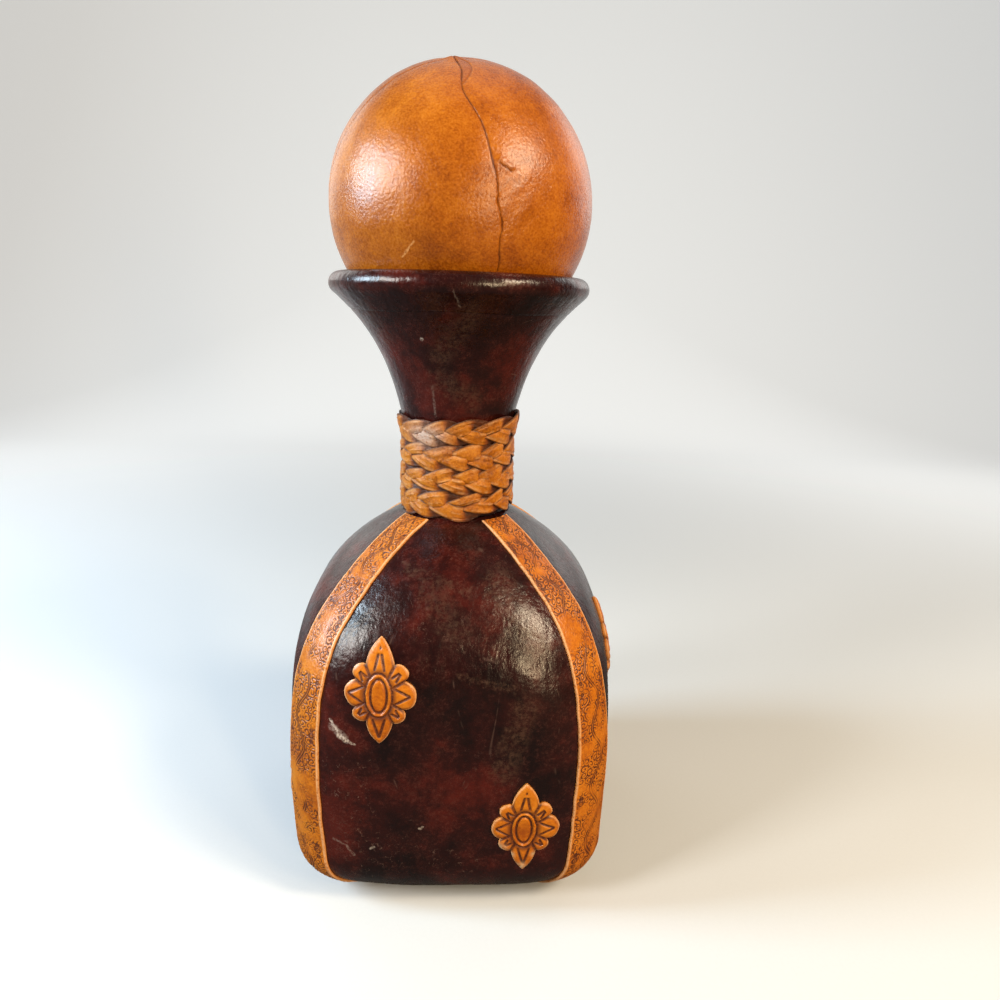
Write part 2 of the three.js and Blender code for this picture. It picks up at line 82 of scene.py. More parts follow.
# Corner strips and their tooling: the stem and beads are in half widths of the strip, the curls in mm
STRIP_WIDTH_BASE = 18
STRIP_WIDTH_NECK = 11.4
STRIP_LEATHER = 0.8
STRIP_EDGE = 0.3  # rounding of the cut edges
STRIP_TOP = 3.985  # where up the profile it ends
STRIP_CROWDING = 0.8  # of its columns towards the edges
STEM_REPEAT = 2.6
STEM_SWAY = 0.3
STEM_WIDTH = 0.05  # from its middle to the line on either side
STEM_SHIFT = 0.37  # from one strip to the next
BEADS = ((-0.3, 0.07), (-0.04, 0.1), (0.2, 0.07))  # place in the stem's repeat and radius
BEAD_ROW = 0.7  # from the strip's middle
CURL_CELL = 2.4
CURL_JITTER = 0.5  # of a curl's place, in cells
CURL_PITCH = 0.92
TOOL_LINE = 0.24
TOOL_DEPTH = 0.2
STRIP_TUCK = 5  # length that thins to go under the collar
STRIP_THINNED = 0.4
WORN_LENGTH = 11
STRIP_WORN = ((91, 40), (77, 22), (60, 25), (98, 30))  # heights of the plainest stretches of each strip

# Rosettes, two to a face
ROSETTE_LEATHER = 0.8
ROSETTE_RELIEF = 0.55
UPPER_ROSETTE = (-20.5, 79)  # across the face and up from the foot
LOWER_ROSETTE = (23.5, 34)
ROSETTE_SHIFT = {"right_upper_rosette": 6, "left_upper_rosette": -3.5}  # across the face, off their place
ROSETTE_SCALE = 0.96
ROSETTE_OVAL = (3.8, 6.4)  # half width and half height of the oval ring
RING_WIDTH = 0.8
DOME_HEIGHT = 0.8  # of the oval's middle, as a share of the relief
BACK_GAP = 0.02  # between a strip's or rosette's back and the panel
CHIPPED = "front_lower_rosette"
CHIPS = (  # across, up and size of each
    (-7.3, -7.2, 1.7),
    (-3.6, -9.4, 0.9),
    (-0.6, -14.2, 1.5),
    (3.4, -9.3, 0.8),
)

# Plaited collar
LACES = 3
LACE_WIDTH = 5.0
LACE_CROWN = 0.42  # how far a lace's face bulges
LACE_BACK = 0.4
LACE_RIDE = 0.42  # a lace's step up or down where it crosses another
PLAIT_SWING = 2.1
PLAITS_PER_TURN = 4
COLLAR_TURNS = 4
COLLAR_PITCH = 7.6  # height of one turn of the plait
COLLAR_OPEN = 0.15  # part of a turn left out at each end, at the back
COLLAR_DROP = 1.5
LACE_STEEPNESS = 2.4  # of its step over or under
LACE_BULGE = 0.6  # power of its section: less is fuller
LACE_END = 1.6  # of its phase, over which an end narrows
LACE_DIVE = 0.7  # how far an end goes in
FRAY_ANGLE = -0.52  # where the collar is frayed
FRAY_HEIGHT = 149.6

# Ball stopper
BALL_DIAMETER = 80.6
BALL_LEATHER = 1.9
GORES = 4
GORE_SEAM = 0.06
SEAM_TURN = math.radians(16)
SEAM_BEND = math.radians(8)  # of the front seam, round a place below the crown
BEND_DOWN = 18
BEND_LENGTH = 8
COVER_LEAN = math.radians(24)  # how far the cover's crown leans, and which way
COVER_LEAN_TURN = math.radians(-9)
LEAN_START = math.radians(40)  # from the crown, where the lean begins to fade
LEAN_FADE = math.radians(110)
CROWN_HOLE = 0.3
CROWN_RISE = 0.7
CROWN_WIDTH = 2.2
SEAM_DEPTH = 0.2
SEAM_WIDTH = 0.26
STEM_DIAMETER = 12
STEM_SOCKET = 16
GORE_TRIM = 3
CORK_LENGTH = 24
CORK_RISE = 8
CORK_TAPER = 0.8
CORK_BITE = 16
CORK_ROUND = 1  # of its ends
CORK_MIDDLE = 4  # radius of the ring inside its foot
FIT = 0.3
PINHOLE = 0.1  # radius of the ring round the middle of a hole's floor

# Unevenness of work done by hand: layers of a depth, a size and a seed
GLUED_SKIN = ((0.2, 44, 3), (0.07, 15, 4))
NECK_SKIN = ((0.12, 30, 61), (0.05, 9, 62))
BINDING_CUT = ((0.35, 1.2, 51),)
BINDING_SKIN = ((0.1, 30, 61),)
BINDING_FOLD = ((0.1, 26, 63),)
LACE_NARROWING = ((0.24, 9, 71),)
LACE_STRAY = ((0.6, 17, 73),)
LACE_PUFF = ((0.25, 6, 74),)
LACE_CREASE = ((0.14, 4.5, 75), (0.09, 2.2, 76))
SWING_STRAY = ((0.26, 14, 72),)
PLAIT_DRIFT = ((0.02, 0.34, 77),)
BALL_SKIN = ((0.16, 32, 81), (0.05, 9, 82))
SEAM_STRAY = ((0.45, 17, 83), (0.12, 4, 88))
SEAM_PULL = ((0.4, 6, 84),)
SEAM_FADING = ((0.35, 11, 87),)
SEAM_WRINKLE = ((1.0, 9, 85), (0.5, 4.5, 86))

# Values worked out from these
wide = BODY_WIDTH / 2
neck_radius = NECK_DIAMETER / 2
skin_base = PAD_THICKNESS + GLUE
glass_out = -(LEATHER + GLUE)
glass_in = glass_out - GLASS_WALL
lip_round = GLASS_LIP / 2 + GLUE + LEATHER
ball_radius = BALL_DIAMETER / 2


def smooth(x):
    """Smoothstep from 0 to 1."""
    t = np.clip(x, 0, 1)
    return t * t * (3 - 2 * t)


def mix(a, b, t):
    return a + (b - a) * t


def bell(x, width):
    """A bell curve, 1 in the middle."""
    return np.exp(-((x / width) ** 2))


def ripple(at, size, seed, waves=12):
    """Soft unevenness at points or along a line, about -1 to 1: plane waves of random heading and phase."""
    at = np.asarray(at, float)
    draw = np.random.default_rng(seed)
    heading = draw.normal(size=(waves, at.shape[-1]))
    heading /= np.linalg.norm(heading, axis=-1, keepdims=True)
    heading *= FULL_TURN / size * draw.uniform(0.6, 1.5, (waves, 1))
    phase = draw.uniform(0, FULL_TURN, waves)
    return np.sin(at @ heading.T + phase).sum(-1) * math.sqrt(2 / waves) / 2


def handwork(at, layers):
    """The sum of layers of ripple, each with its depth, size and seed."""
    return sum(depth * ripple(at, size, seed) for depth, size, seed in layers)


def along_line(x, row=0):
    """Points along a row of a flat layout, for ripple."""
    return np.stack([x, 0 * x + row], -1)


def around(count):
    """Angles spread evenly round a full turn."""
    return np.linspace(0, FULL_TURN, count, endpoint=False)


def directions(angle):
    """Points round a circle of radius 1, for ripple."""
    return np.stack([np.cos(angle), np.sin(angle)], -1)


def superellipse(half_width, power, angle):
    """Radius of a square with rounded corners; a power of 2 makes it a circle."""
    return half_width / (np.abs(np.cos(angle)) ** power + np.abs(np.sin(angle)) ** power) ** (1 / power)


def grid(rows, columns):
    return np.meshgrid(rows, columns, indexing="ij")


def stations(*stages):
    """Even values over stages that join: each stage is where it starts, where it ends and its cells."""
    parts = [np.linspace(start, end, cells, endpoint=False) for start, end, cells in stages]
    return np.concatenate([*parts, [stages[-1][1]]])


# The body's surface


def side_width(z):
    return wide - BASE_TAPER * ((WIDEST_HEIGHT - z) / WIDEST_HEIGHT) ** 2


floor_width = side_width(skin_base + BASE_ROUND) - BASE_ROUND


def profile(v):
    """Half width and height up a face: flat under the base for v 0 to 1, a quarter round to 2, the side to 3
    and a shoulder to 4 whose width falls by a power of its height."""
    turn = np.clip(v - 1, 0, 1) * RIGHT_ANGLE
    low_width = floor_width + BASE_ROUND * np.sin(turn) - FOLD_UNDER * np.clip(1 - v, 0, 1)
    low_height = skin_base + BASE_ROUND * (1 - np.cos(turn))
    side_height = mix(skin_base + BASE_ROUND, WIDEST_HEIGHT, np.clip(v - 2, 0, 1))
    rise = np.clip(v - 3, 0, None)
    shoulder_width = neck_radius + (wide - neck_radius) * (1 - rise**SHOULDER_FULLNESS)
    shoulder_height = mix(WIDEST_HEIGHT, SHOULDER_HEIGHT, rise)
    width = np.where(v < 2, low_width, np.where(v < 3, side_width(side_height), shoulder_width))
    height = np.where(v < 2, low_height, np.where(v < 3, side_height, shoulder_height))
    return width, height


def profile_at(z):
    """Where up the profile a height lies."""
    round_top = skin_base + BASE_ROUND
    in_turn = 1 + np.arccos(np.clip((round_top - z) / BASE_ROUND, -1, 1)) / RIGHT_ANGLE
    in_side = 2 + (z - round_top) / (WIDEST_HEIGHT - round_top)
    in_shoulder = 3 + (z - WIDEST_HEIGHT) / (SHOULDER_HEIGHT - WIDEST_HEIGHT)
    return np.where(z > WIDEST_HEIGHT, in_shoulder, np.where(z > round_top, in_side, in_turn))


def squareness(z):
    return smooth((SHOULDER_HEIGHT - z) / (SHOULDER_HEIGHT - CORNER_HEIGHT))


def corner_power(z):
    return 2 + (CORNER_POWER - 2) * squareness(z)


def skin(angle, v):
    """A point on the leather: a superellipse section, squarest below and round at the neck."""
    width, z = profile(v)
    r = superellipse(width, corner_power(z), angle)
    return np.stack([r * np.sin(angle), -r * np.cos(angle), z + 0 * r], -1)


def on_body(angle, v, lift):
    """The same point lifted along its normal, with the slight unevenness of leather glued by hand."""
    sideways = skin(angle + STEP, v) - skin(angle - STEP, v)
    upwards = skin(angle, v + STEP) - skin(angle, v - STEP)
    normal = np.cross(sideways, upwards)
    normal /= np.linalg.norm(normal, axis=-1, keepdims=True)
    at = skin(angle, v)
    return at + normal * (lift + handwork(at, GLUED_SKIN))[..., None]


def on_face(face, x, z, lift):
    """A point of a face given across it and up from the foot."""
    v = profile_at(z)
    power = corner_power(z)
    depth = (profile(v)[0] ** power - np.abs(x) ** power) ** (1 / power)
    return on_body(face * RIGHT_ANGLE + np.arctan2(x, depth), v, lift)


# The neck's surface


def rim_centre():
    """Centre of the lip's round and the end of the flare, which runs into the round without a kink."""
    outside = RIM_DIAMETER / 2
    skin_end = outside
    for _ in range(SETTLING):
        lean = math.atan((skin_end - neck_radius) * (3 - 2 * FLARE_LINEAR) / FLARE_LENGTH)
        skin_end = outside - lip_round * (1 - math.cos(lean))
    z = LIP_HEIGHT - lip_round
    return outside - lip_round, z, lean, skin_end, z - lip_round * math.sin(lean)


rim_radius, rim_height, rim_lean, skin_end, flare_end = rim_centre()
flare_start = flare_end - FLARE_LENGTH
ball_height = rim_height + math.sqrt((ball_radius + lip_round + FIT) ** 2 - rim_radius**2)


def neck_skin(z):
    """Radius of the neck outside its leather: straight, then a cone that opens into a trumpet."""
    x = np.clip((z - flare_start) / FLARE_LENGTH, 0, None)
    return neck_radius + (skin_end - neck_radius) * (FLARE_LINEAR * x + (1 - FLARE_LINEAR) * x**3)


def neck_point(z, lift):
    """Radius and height of a point of the neck's wall, lifted from the outside of the leather."""
    lean = np.arctan2(neck_skin(z + STEP) - neck_skin(z - STEP), 2 * STEP)
    return neck_skin(z) + lift * np.cos(lean), z - lift * np.sin(lean)


def lip_arc(radius, cells):
    """Radii and heights over the lip, from its outside to its inside."""
    turn = np.linspace(-rim_lean, math.pi - rim_lean, cells + 1)
    return rim_radius + radius * np.cos(turn), rim_height + radius * np.sin(turn)


def round_axis(r, z, angle):
    return np.stack([r * np.sin(angle), -r * np.cos(angle), z + 0 * angle], -1)


# Meshes


def quads(rows, columns, wrap_rows=False, wrap_columns=False):
    """Corner numbers of the cells of a grid of points; a wrapped side closes on itself."""
    i, j = grid(np.arange(rows - (not wrap_rows)), np.arange(columns - (not wrap_columns)))
    up, right = (i + 1) % rows, (j + 1) % columns
    cells = [i * columns + j, i * columns + right, up * columns + right, up * columns + j]
    return np.stack(cells, -1).reshape(-1, 4)


def sheet(outer, inner, marks):
    """A sheet with thickness: every row runs along its outside and back along its inside, whose columns may
    be fewer, and both ends are closed. Marks are given for the outside."""
    rings = np.concatenate([outer, inner[:, ::-1]], 1)
    rows, columns = rings.shape[:2]
    step = (outer.shape[1] - 1) // (inner.shape[1] - 1)
    cell = np.arange(inner.shape[1] - 1)[:, None]
    head = np.concatenate([cell * step + np.arange(step + 1), columns - 1 - cell - np.array([1, 0])], 1)
    polygons = [quads(rows, columns, wrap_columns=True), head[:, ::-1], head + (rows - 1) * columns]
    blank = np.zeros(inner.shape[:2])
    whole = {key: np.concatenate([mark, blank], 1) for key, mark in marks.items()}
    return rings.reshape(-1, 3), polygons, whole


def hoop(rings):
    """Rings round the decanter that close up along their section too."""
    rows, columns = rings.shape[:2]
    return rings.reshape(-1, 3), [quads(rows, columns, True, True)], {}


def capped(rings, foot, head, marks=None):
    """Closed rings from one middle point to another, a fan at each end. Marks are given for the rings."""
    rows, columns = rings.shape[:2]
    j = np.arange(columns)
    after = (j + 1) % columns
    last = (rows - 1) * columns
    first_point = rows * columns
    foot_fan = np.stack([0 * j + first_point, after, j], -1)
    head_fan = np.stack([last + j, last + after, 0 * j + first_point + 1], -1)
    points = np.concatenate([rings.reshape(-1, 3), [foot], [head]])
    ended = {key: np.append(mark.ravel(), [mark[0, 0], mark[-1, 0]]) for key, mark in (marks or {}).items()}
    return points, [quads(rows, columns, wrap_columns=True), foot_fan, head_fan], ended


def turned(radii, heights, count):
    """A turned piece: its outline swept round the axis, closed at its first and last height."""
    rings = round_axis(np.array(radii)[:, None], np.array(heights)[:, None], around(count)[None])
    return capped(rings, (0, 0, heights[0]), (0, 0, heights[-1]))


def dress(name, shape, finish, body, node, sharp=38):
    """Makes a piece from points, polygons and marks, gives it its finish and lets it replace a CAD node."""
    points, polygons, marks = shape
    corners = np.concatenate([p.ravel() for p in polygons]).astype(np.int32)
    sizes = np.concatenate([np.full(len(p), p.shape[1]) for p in polygons])
    starts = np.concatenate([[0], np.cumsum(sizes)[:-1]]).astype(np.int32)
    mesh = bpy.data.meshes.new(name)
    mesh.vertices.add(len(points))
    mesh.vertices.foreach_set("co", (points * MM).astype(np.float32).ravel())
    mesh.loops.add(len(corners))
    mesh.loops.foreach_set("vertex_index", corners)
    mesh.polygons.add(len(sizes))
    mesh.polygons.foreach_set("loop_start", starts)
    mesh.update(calc_edges=True)
    mesh.validate()
    mesh.shade_smooth()
    mesh.set_sharp_from_angle(angle=math.radians(sharp))
    for mark, values in marks.items():
        layer = mesh.attributes.new(mark, "FLOAT", "POINT")
        layer.data.foreach_set("value", np.asarray(values, np.float32).ravel())
    mesh.materials.append(finish)
    piece = bpy.data.objects.new(name, mesh)
    bpy.context.scene.collection.objects.link(piece)
    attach(piece, body)
    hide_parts(node)
    return piece


# Finishes


class Value:
    """A shader value that takes part in Python sums: every operation adds a Math node."""

    def __init__(self, nodes, socket):
        self.nodes = nodes
        self.socket = socket

    def math(self, operation, *values):
        return self.nodes.node("ShaderNodeMath", {"operation": operation}, dict(enumerate(values)))

    def __add__(self, other):
        return self.math("ADD", self, other)

    def __sub__(self, other):
        return self.math("SUBTRACT", self, other)

    def __rsub__(self, other):
        return self.math("SUBTRACT", other, self)

    def __mul__(self, other):
        return self.math("MULTIPLY", self, other)

    __radd__ = __add__
    __rmul__ = __mul__

    def clamp(self):
        return self.math("MINIMUM", self.math("MAXIMUM", self, 0.0), 1.0)

    def between(self, low, high):
        """0 below low, 1 above high and smooth between them; low may be the larger."""
        limits = {"Value": self, "From Min": low, "From Max": high}
        return self.nodes.node("ShaderNodeMapRange", {"interpolation_type": "SMOOTHSTEP"}, limits)

    def near(self, level, width):
        """1 where the value is at a level, falling to 0 over a width to either side."""
        return self.math("ABSOLUTE", self - level).between(width, 0)


class Nodes:
    """The nodes of a material or of the world."""

    def __init__(self, tree):
        self.tree = tree
        tree.nodes.clear()

    def node(self, kind, settings=None, sockets=None, out=0):
        """Adds a node: its type, then its settings, then the values or links of its sockets."""
        made = self.tree.nodes.new(kind)
        for key, value in (settings or {}).items():
            if key == "stops":
                self.set_stops(made.color_ramp.elements, value)
            else:
                setattr(made, key, value)
        for key, value in (sockets or {}).items():
            if isinstance(value, Value):
                self.tree.links.new(value.socket, made.inputs[key])
            else:
                made.inputs[key].default_value = value
        return Value(self, made.outputs[out]) if made.outputs else None

    def set_stops(self, elements, stops):
        while len(elements) < len(stops):
            elements.new(1.0)
        for element, (position, colour) in zip(elements, stops):
            element.position = position
            element.color = (*colour, 1)


class Finish(Nodes):
    """A procedural material and its nodes."""

    def __init__(self, name):
        self.material = bpy.data.materials.new(name)
        self.material.use_nodes = True
        super().__init__(self.material.node_tree)
        self.place = self.node("ShaderNodeTexCoord", out="Object")

    def mark(self, name):
        """A value kept on the piece's points."""
        return self.node("ShaderNodeAttribute", {"attribute_name": name}, out="Fac")

    def noise(self, size, detail=2, roughness=0.5, place=None):
        """Cloudy noise with patches about size millimetres across."""
        sockets = {"Vector": place or self.place, "Scale": 1 / (size * MM)}
        return self.node("ShaderNodeTexNoise", {}, {**sockets, "Detail": detail, "Roughness": roughness})

    def cells(self, size, feature="F1", place=None):
        """Distance within cells about size millimetres across."""
        sockets = {"Vector": place or self.place, "Scale": 1 / (size * MM)}
        return self.node("ShaderNodeTexVoronoi", {"feature": feature}, sockets, out="Distance")

    def turned_place(self, turn, stretch):
        """Object coordinates turned by three angles and then stretched along their axes."""
        sockets = {"Vector": self.place, "Rotation": turn, "Scale": stretch}
        return self.node("ShaderNodeMapping", {}, sockets)

    def ramp(self, value, stops):
        return self.node("ShaderNodeValToRGB", {"stops": stops}, {"Fac": value})

    def blend(self, colour, other, share):
        """One colour over another: the Mix node's factor and its two colours by their numbers."""
        paint = (*other, 1) if isinstance(other, tuple) else other
        return self.node("ShaderNodeMix", {"data_type": "RGBA"}, {0: share, 6: colour, 7: paint}, out=2)

    def bump(self, height, depth, under=None):
        """A normal from a height of 0 to 1 that stands for a depth in millimetres."""
        sockets = {"Height": height, "Distance": depth * MM, "Strength": 1.0}
        if under:
            sockets["Normal"] = under
        return self.node("ShaderNodeBump", {}, sockets)

    def axes(self, stray):
        """Object coordinates in millimetres, one by one, made to stray by a cloudy noise."""
        noise = {"Vector": self.place, "Scale": 1 / (STRAY_SIZE * MM), "Detail": 3}
        cloud = self.node("ShaderNodeTexNoise", {}, noise, out="Color")
        centred = self.node("ShaderNodeVectorMath", {"operation": "SUBTRACT"}, {0: cloud, 1: (0.5, 0.5, 0.5)})
        scaled = self.node("ShaderNodeVectorMath", {"operation": "SCALE"}, {0: self.place, "Scale": 1 / MM})
        sockets = {0: centred, 1: (stray, stray, stray), 2: scaled}
        moved = self.node("ShaderNodeVectorMath", {"operation": "MULTIPLY_ADD"}, sockets)
        return [self.node("ShaderNodeSeparateXYZ", {}, {"Vector": moved}, out=axis) for axis in "XYZ"]

    def strokes(self, marks, stray=1.2):
        """Scuffs on the four sides, 0 to 1: each is a line seen square on, given across and up, soft over its
        width."""
        x, y, z = self.axes(stray)
        worn = None
        for face, start, end, width, strength in marks:
            turn = face * RIGHT_ANGLE
            across = x * math.cos(turn) + y * math.sin(turn)
            towards = x * math.sin(turn) - y * math.cos(turn)
            run, rise = end[0] - start[0], end[1] - start[1]
            length = run * run + rise * rise
            share = ((across - start[0]) * (run / length) + (z - start[1]) * (rise / length)).clamp()
            side, up = across - start[0] - share * run, z - start[1] - share * rise
            line = (side * side + up * up).between(width * width, 0) * strength
            seen = line * towards.between(*SIDE_START)
            worn = seen if worn is None else worn.math("MAXIMUM", worn, seen)
        return worn

    def hairlines(self, turn, size, stretch, width):
        """Thin scratches: contour lines of a drawn-out noise, broken up by a cloudy one."""
        lines = self.noise(size, 1, place=self.turned_place(turn, stretch)).near(0.5, width)
        return lines * self.noise(7, 2).between(0.56, 0.66)

    def done(self, colour, rough, shine, normal=None, **others):
        """Puts a surface on the material: its colour, roughness, shine and normal, and any other sockets."""
        sockets = {"Base Color": colour, "Roughness": rough, "Specular IOR Level": shine}
        if normal:
            sockets["Normal"] = normal
        sockets.update({key.replace("_", " "): value for key, value in others.items()})
        surface = self.node("ShaderNodeBsdfPrincipled", {}, sockets)
        self.node("ShaderNodeOutputMaterial", {}, {"Surface": surface})
        return self.material


def dark_leather():
    """Oxblood leather, waxed and worn: cloudy red-brown under a dusty film, scratches, rubs and scuffs; one
    pale rub low on the front is also a painted highlight.
    """
    f = Finish("dark_leather")
    cloud = f.noise(30, 4, 0.6)
    blotch = f.noise(8, 5, 0.72)
    film = f.noise(1.0, 5, 0.82)
    colour = f.ramp(
        0.6 * cloud + 0.4 * blotch,
        [(0.39, (0.0066, 0.0014, 0.0013)), (0.51, (0.021, 0.0029, 0.0022)), (0.63, (0.066, 0.0068, 0.0036))],
    )
    dust = film.between(0.46, 0.72) * blotch.between(0.42, 0.66)
    colour = f.blend(colour, (0.085, 0.036, 0.027), 0.4 * dust)
    scored = f.strokes(SCORED, 9)
    scratches = f.hairlines((0.4, 0.7, 0.2), 26, (1, 1, 0.35), 0.005)
    scratches = scratches + f.hairlines((1.1, 0.3, 1.9), 22, (1, 0.4, 1), 0.004)
    nicks = f.noise(3.4, 3, 0.6).near(0.5, 0.012) * f.noise(2.6, 3, 0.7).between(0.52, 0.62)
    colour = f.blend(colour, (0.2, 0.125, 0.1), (0.2 * scratches + 0.75 * nicks * scored).clamp())
    # rubs; one of them, low on the front, is also a painted highlight
    rub_and_highlight = f.strokes(RUBS_AND_PAINTED_HIGHLIGHT, 5) * f.noise(1.6, 5, 0.85).between(0.40, 0.70)
    colour = f.blend(colour, (0.105, 0.055, 0.034), rub_and_highlight)
    scuff = f.strokes(SCUFFS) * f.noise(0.8, 4, 0.75).between(0.36, 0.56)
    colour = f.blend(colour, (0.58, 0.50, 0.43), scuff)
    streak = f.noise(2.6, 4, 0.65, place=f.turned_place((0, 0, 0), (1, 1, 0.3)))
    rough = 0.14 + 0.22 * streak + 0.12 * dust + 0.25 * (scuff + rub_and_highlight)
    normal = f.bump(f.cells(1.0, "SMOOTH_F1"), 0.04)
    normal = f.bump(streak, 0.2, normal)
    normal = f.bump(f.noise(6, 3, 0.6), 0.3, normal)
    return f.done(colour, rough, 0.38, normal)


def tan_leather():
    """Orange veg-tanned leather, antiqued: brown stain in the tooling, pale cut edges and raw chips."""
    f = Finish("tan_leather")
    cloud = f.noise(12, 4, 0.6)
    fleck = f.noise(1.0, 4, 0.75)
    colour = f.ramp(
        0.55 * cloud + 0.45 * fleck,
        [(0.36, (0.30, 0.066, 0.002)), (0.5, (0.50, 0.142, 0.004)), (0.66, (0.61, 0.21, 0.012))],
    )
    stain = f.mark("tooled").between(0.1, 0.7) * (0.7 + 0.3 * fleck.between(0.36, 0.56))
    colour = f.blend(colour, (0.062, 0.011, 0.003), stain)
    colour = f.blend(colour, (0.66, 0.36, 0.17), 0.85 * f.mark("edge") * fleck.between(0.3, 0.5))
    colour = f.blend(colour, (0.46, 0.36, 0.23), 0.8 * f.mark("raw") * fleck.between(0.38, 0.52))
    rough = 0.27 + 0.15 * fleck + 0.2 * stain
    normal = f.bump(f.cells(0.9, "SMOOTH_F1"), 0.05)
    normal = f.bump(fleck, 0.06, normal)
    return f.done(colour, rough, 0.42, normal)


def lace_leather():
    """The same tan leather cut into laces: dark round its edges, with painted shade where it dives under and
    in its creases, worn pale on its ridges, frayed in one place."""
    f = Finish("lace_leather")
    cloud = f.noise(5, 4, 0.65)
    fleck = f.noise(0.8, 4, 0.78)
    colour = f.ramp(
        0.5 * cloud + 0.5 * fleck,
        [(0.36, (0.19, 0.044, 0.002)), (0.5, (0.41, 0.125, 0.004)), (0.64, (0.53, 0.195, 0.014))],
    )
    # painted shade where the lace dips under the others
    colour = f.blend(colour, (0.17, 0.036, 0.006), 0.85 * f.mark("shade"))
    worn = f.noise(3.0, 4, 0.7).between(0.43, 0.58) * f.mark("ridge")
    colour = f.blend(colour, (0.55, 0.31, 0.14), 0.6 * worn)
    colour = f.blend(colour, (0.50, 0.37, 0.30), f.mark("fray") * fleck.between(0.30, 0.50))
    # dark edges where the laces meet, and painted shade where a lace goes under another and in its creases
    crevice = f.mark("crevice") * (0.75 + 0.25 * cloud.between(0.4, 0.55))
    colour = f.blend(colour, (0.036, 0.011, 0.006), crevice)
    rough = 0.34 + 0.2 * fleck + 0.2 * f.mark("fray")
    normal = f.bump(f.noise(0.7, 4, 0.7), 0.24)
    return f.done(colour, rough, 0.3, normal)


def ball_leather():
    """Saddle leather with a satin face: speckled grain, mottled dye, thin brown seams and pale scratches."""
    f = Finish("ball_leather")
    cloud = f.noise(24, 5, 0.62)
    mottle = f.noise(4.5, 5, 0.75)
    fleck = f.noise(0.7, 4, 0.8)
    colour = f.ramp(
        0.34 * cloud + 0.26 * mottle + 0.4 * fleck,
        [(0.39, (0.175, 0.035, 0.002)), (0.5, (0.34, 0.088, 0.003)), (0.61, (0.48, 0.152, 0.010))],
    )
    specks = f.noise(1.7, 5, 0.85).between(0.58, 0.70)
    colour = f.blend(colour, (0.19, 0.038, 0.005), 0.5 * specks)
    colour = f.blend(colour, (0.24, 0.055, 0.010), 0.5 * f.mark("tint"))
    colour = f.blend(colour, (0.115, 0.026, 0.006), f.mark("seam"))
    scuff = f.strokes(BALL_SCUFFS, 0.8) * fleck.between(0.35, 0.5)
    colour = f.blend(colour, (0.70, 0.36, 0.13), scuff)
    rough = 0.19 + 0.17 * fleck + 0.2 * f.mark("seam")
    normal = f.bump(f.cells(0.75, "SMOOTH_F1"), 0.08)
    normal = f.bump(fleck, 0.07, normal)
    normal = f.bump(mottle, 0.06, normal)
    return f.done(colour, rough, 0.42, normal)


def suede():
    """Base pad: leather with its flesh side out."""
    f = Finish("suede")
    nap = f.noise(0.7, 4, 0.75)
    cloud = f.noise(12, 3, 0.6)
    colour = f.ramp(
        0.5 * nap + 0.5 * cloud,
        [(0.35, (0.05, 0.02, 0.012)), (0.55, (0.09, 0.036, 0.02)), (0.7, (0.13, 0.06, 0.035))],
    )
    return f.done(colour, 0.9, 0.2, f.bump(nap, 0.12))


def bottle_glass():
    """Clear pressed glass with a faint green tint and slight waves."""
    f = Finish("bottle_glass")
    waves = f.bump(f.noise(18, 2), 0.12)
    return f.done((0.86, 0.93, 0.88, 1), 0.03, 0.5, waves, Transmission_Weight=1.0, IOR=1.5)


def turned_wood():
    """Pale turned beech with its grain along the stem."""
    f = Finish("turned_wood")
    lean = (0.06, 0.04, 0)
    rings = f.noise(2.2, 3, 0.6, place=f.turned_place(lean, (1, 1, 0.06)))
    pores = f.noise(0.5, 2, place=f.turned_place(lean, (1, 1, 0.08)))
    colour = f.ramp(
        0.7 * rings + 0.3 * pores,
        [(0.36, (0.24, 0.12, 0.048)), (0.52, (0.37, 0.205, 0.088)), (0.66, (0.47, 0.28, 0.135))],
    )
    rough = 0.5 + 0.16 * pores
    return f.done(colour, rough, 0.4, f.bump(pores, 0.06))


def natural_cork():
    """Cork: packed pale cells with dark pores."""
    f = Finish("natural_cork")
    grains = f.cells(2.1)
    pores = f.noise(1.9, 4, 0.7).between(0.60, 0.68)
    colour = f.ramp(
        0.5 * grains + 0.5 * f.noise(3, 4, 0.7),
        [(0.25, (0.24, 0.13, 0.058)), (0.45, (0.37, 0.22, 0.108)), (0.62, (0.47, 0.31, 0.17))],
    )
    colour = f.blend(colour, (0.13, 0.06, 0.028), 0.85 * pores)
    normal = f.bump(pores, -0.3)
    normal = f.bump(grains, 0.12, normal)
    return f.done(colour, 0.85, 0.25, normal)
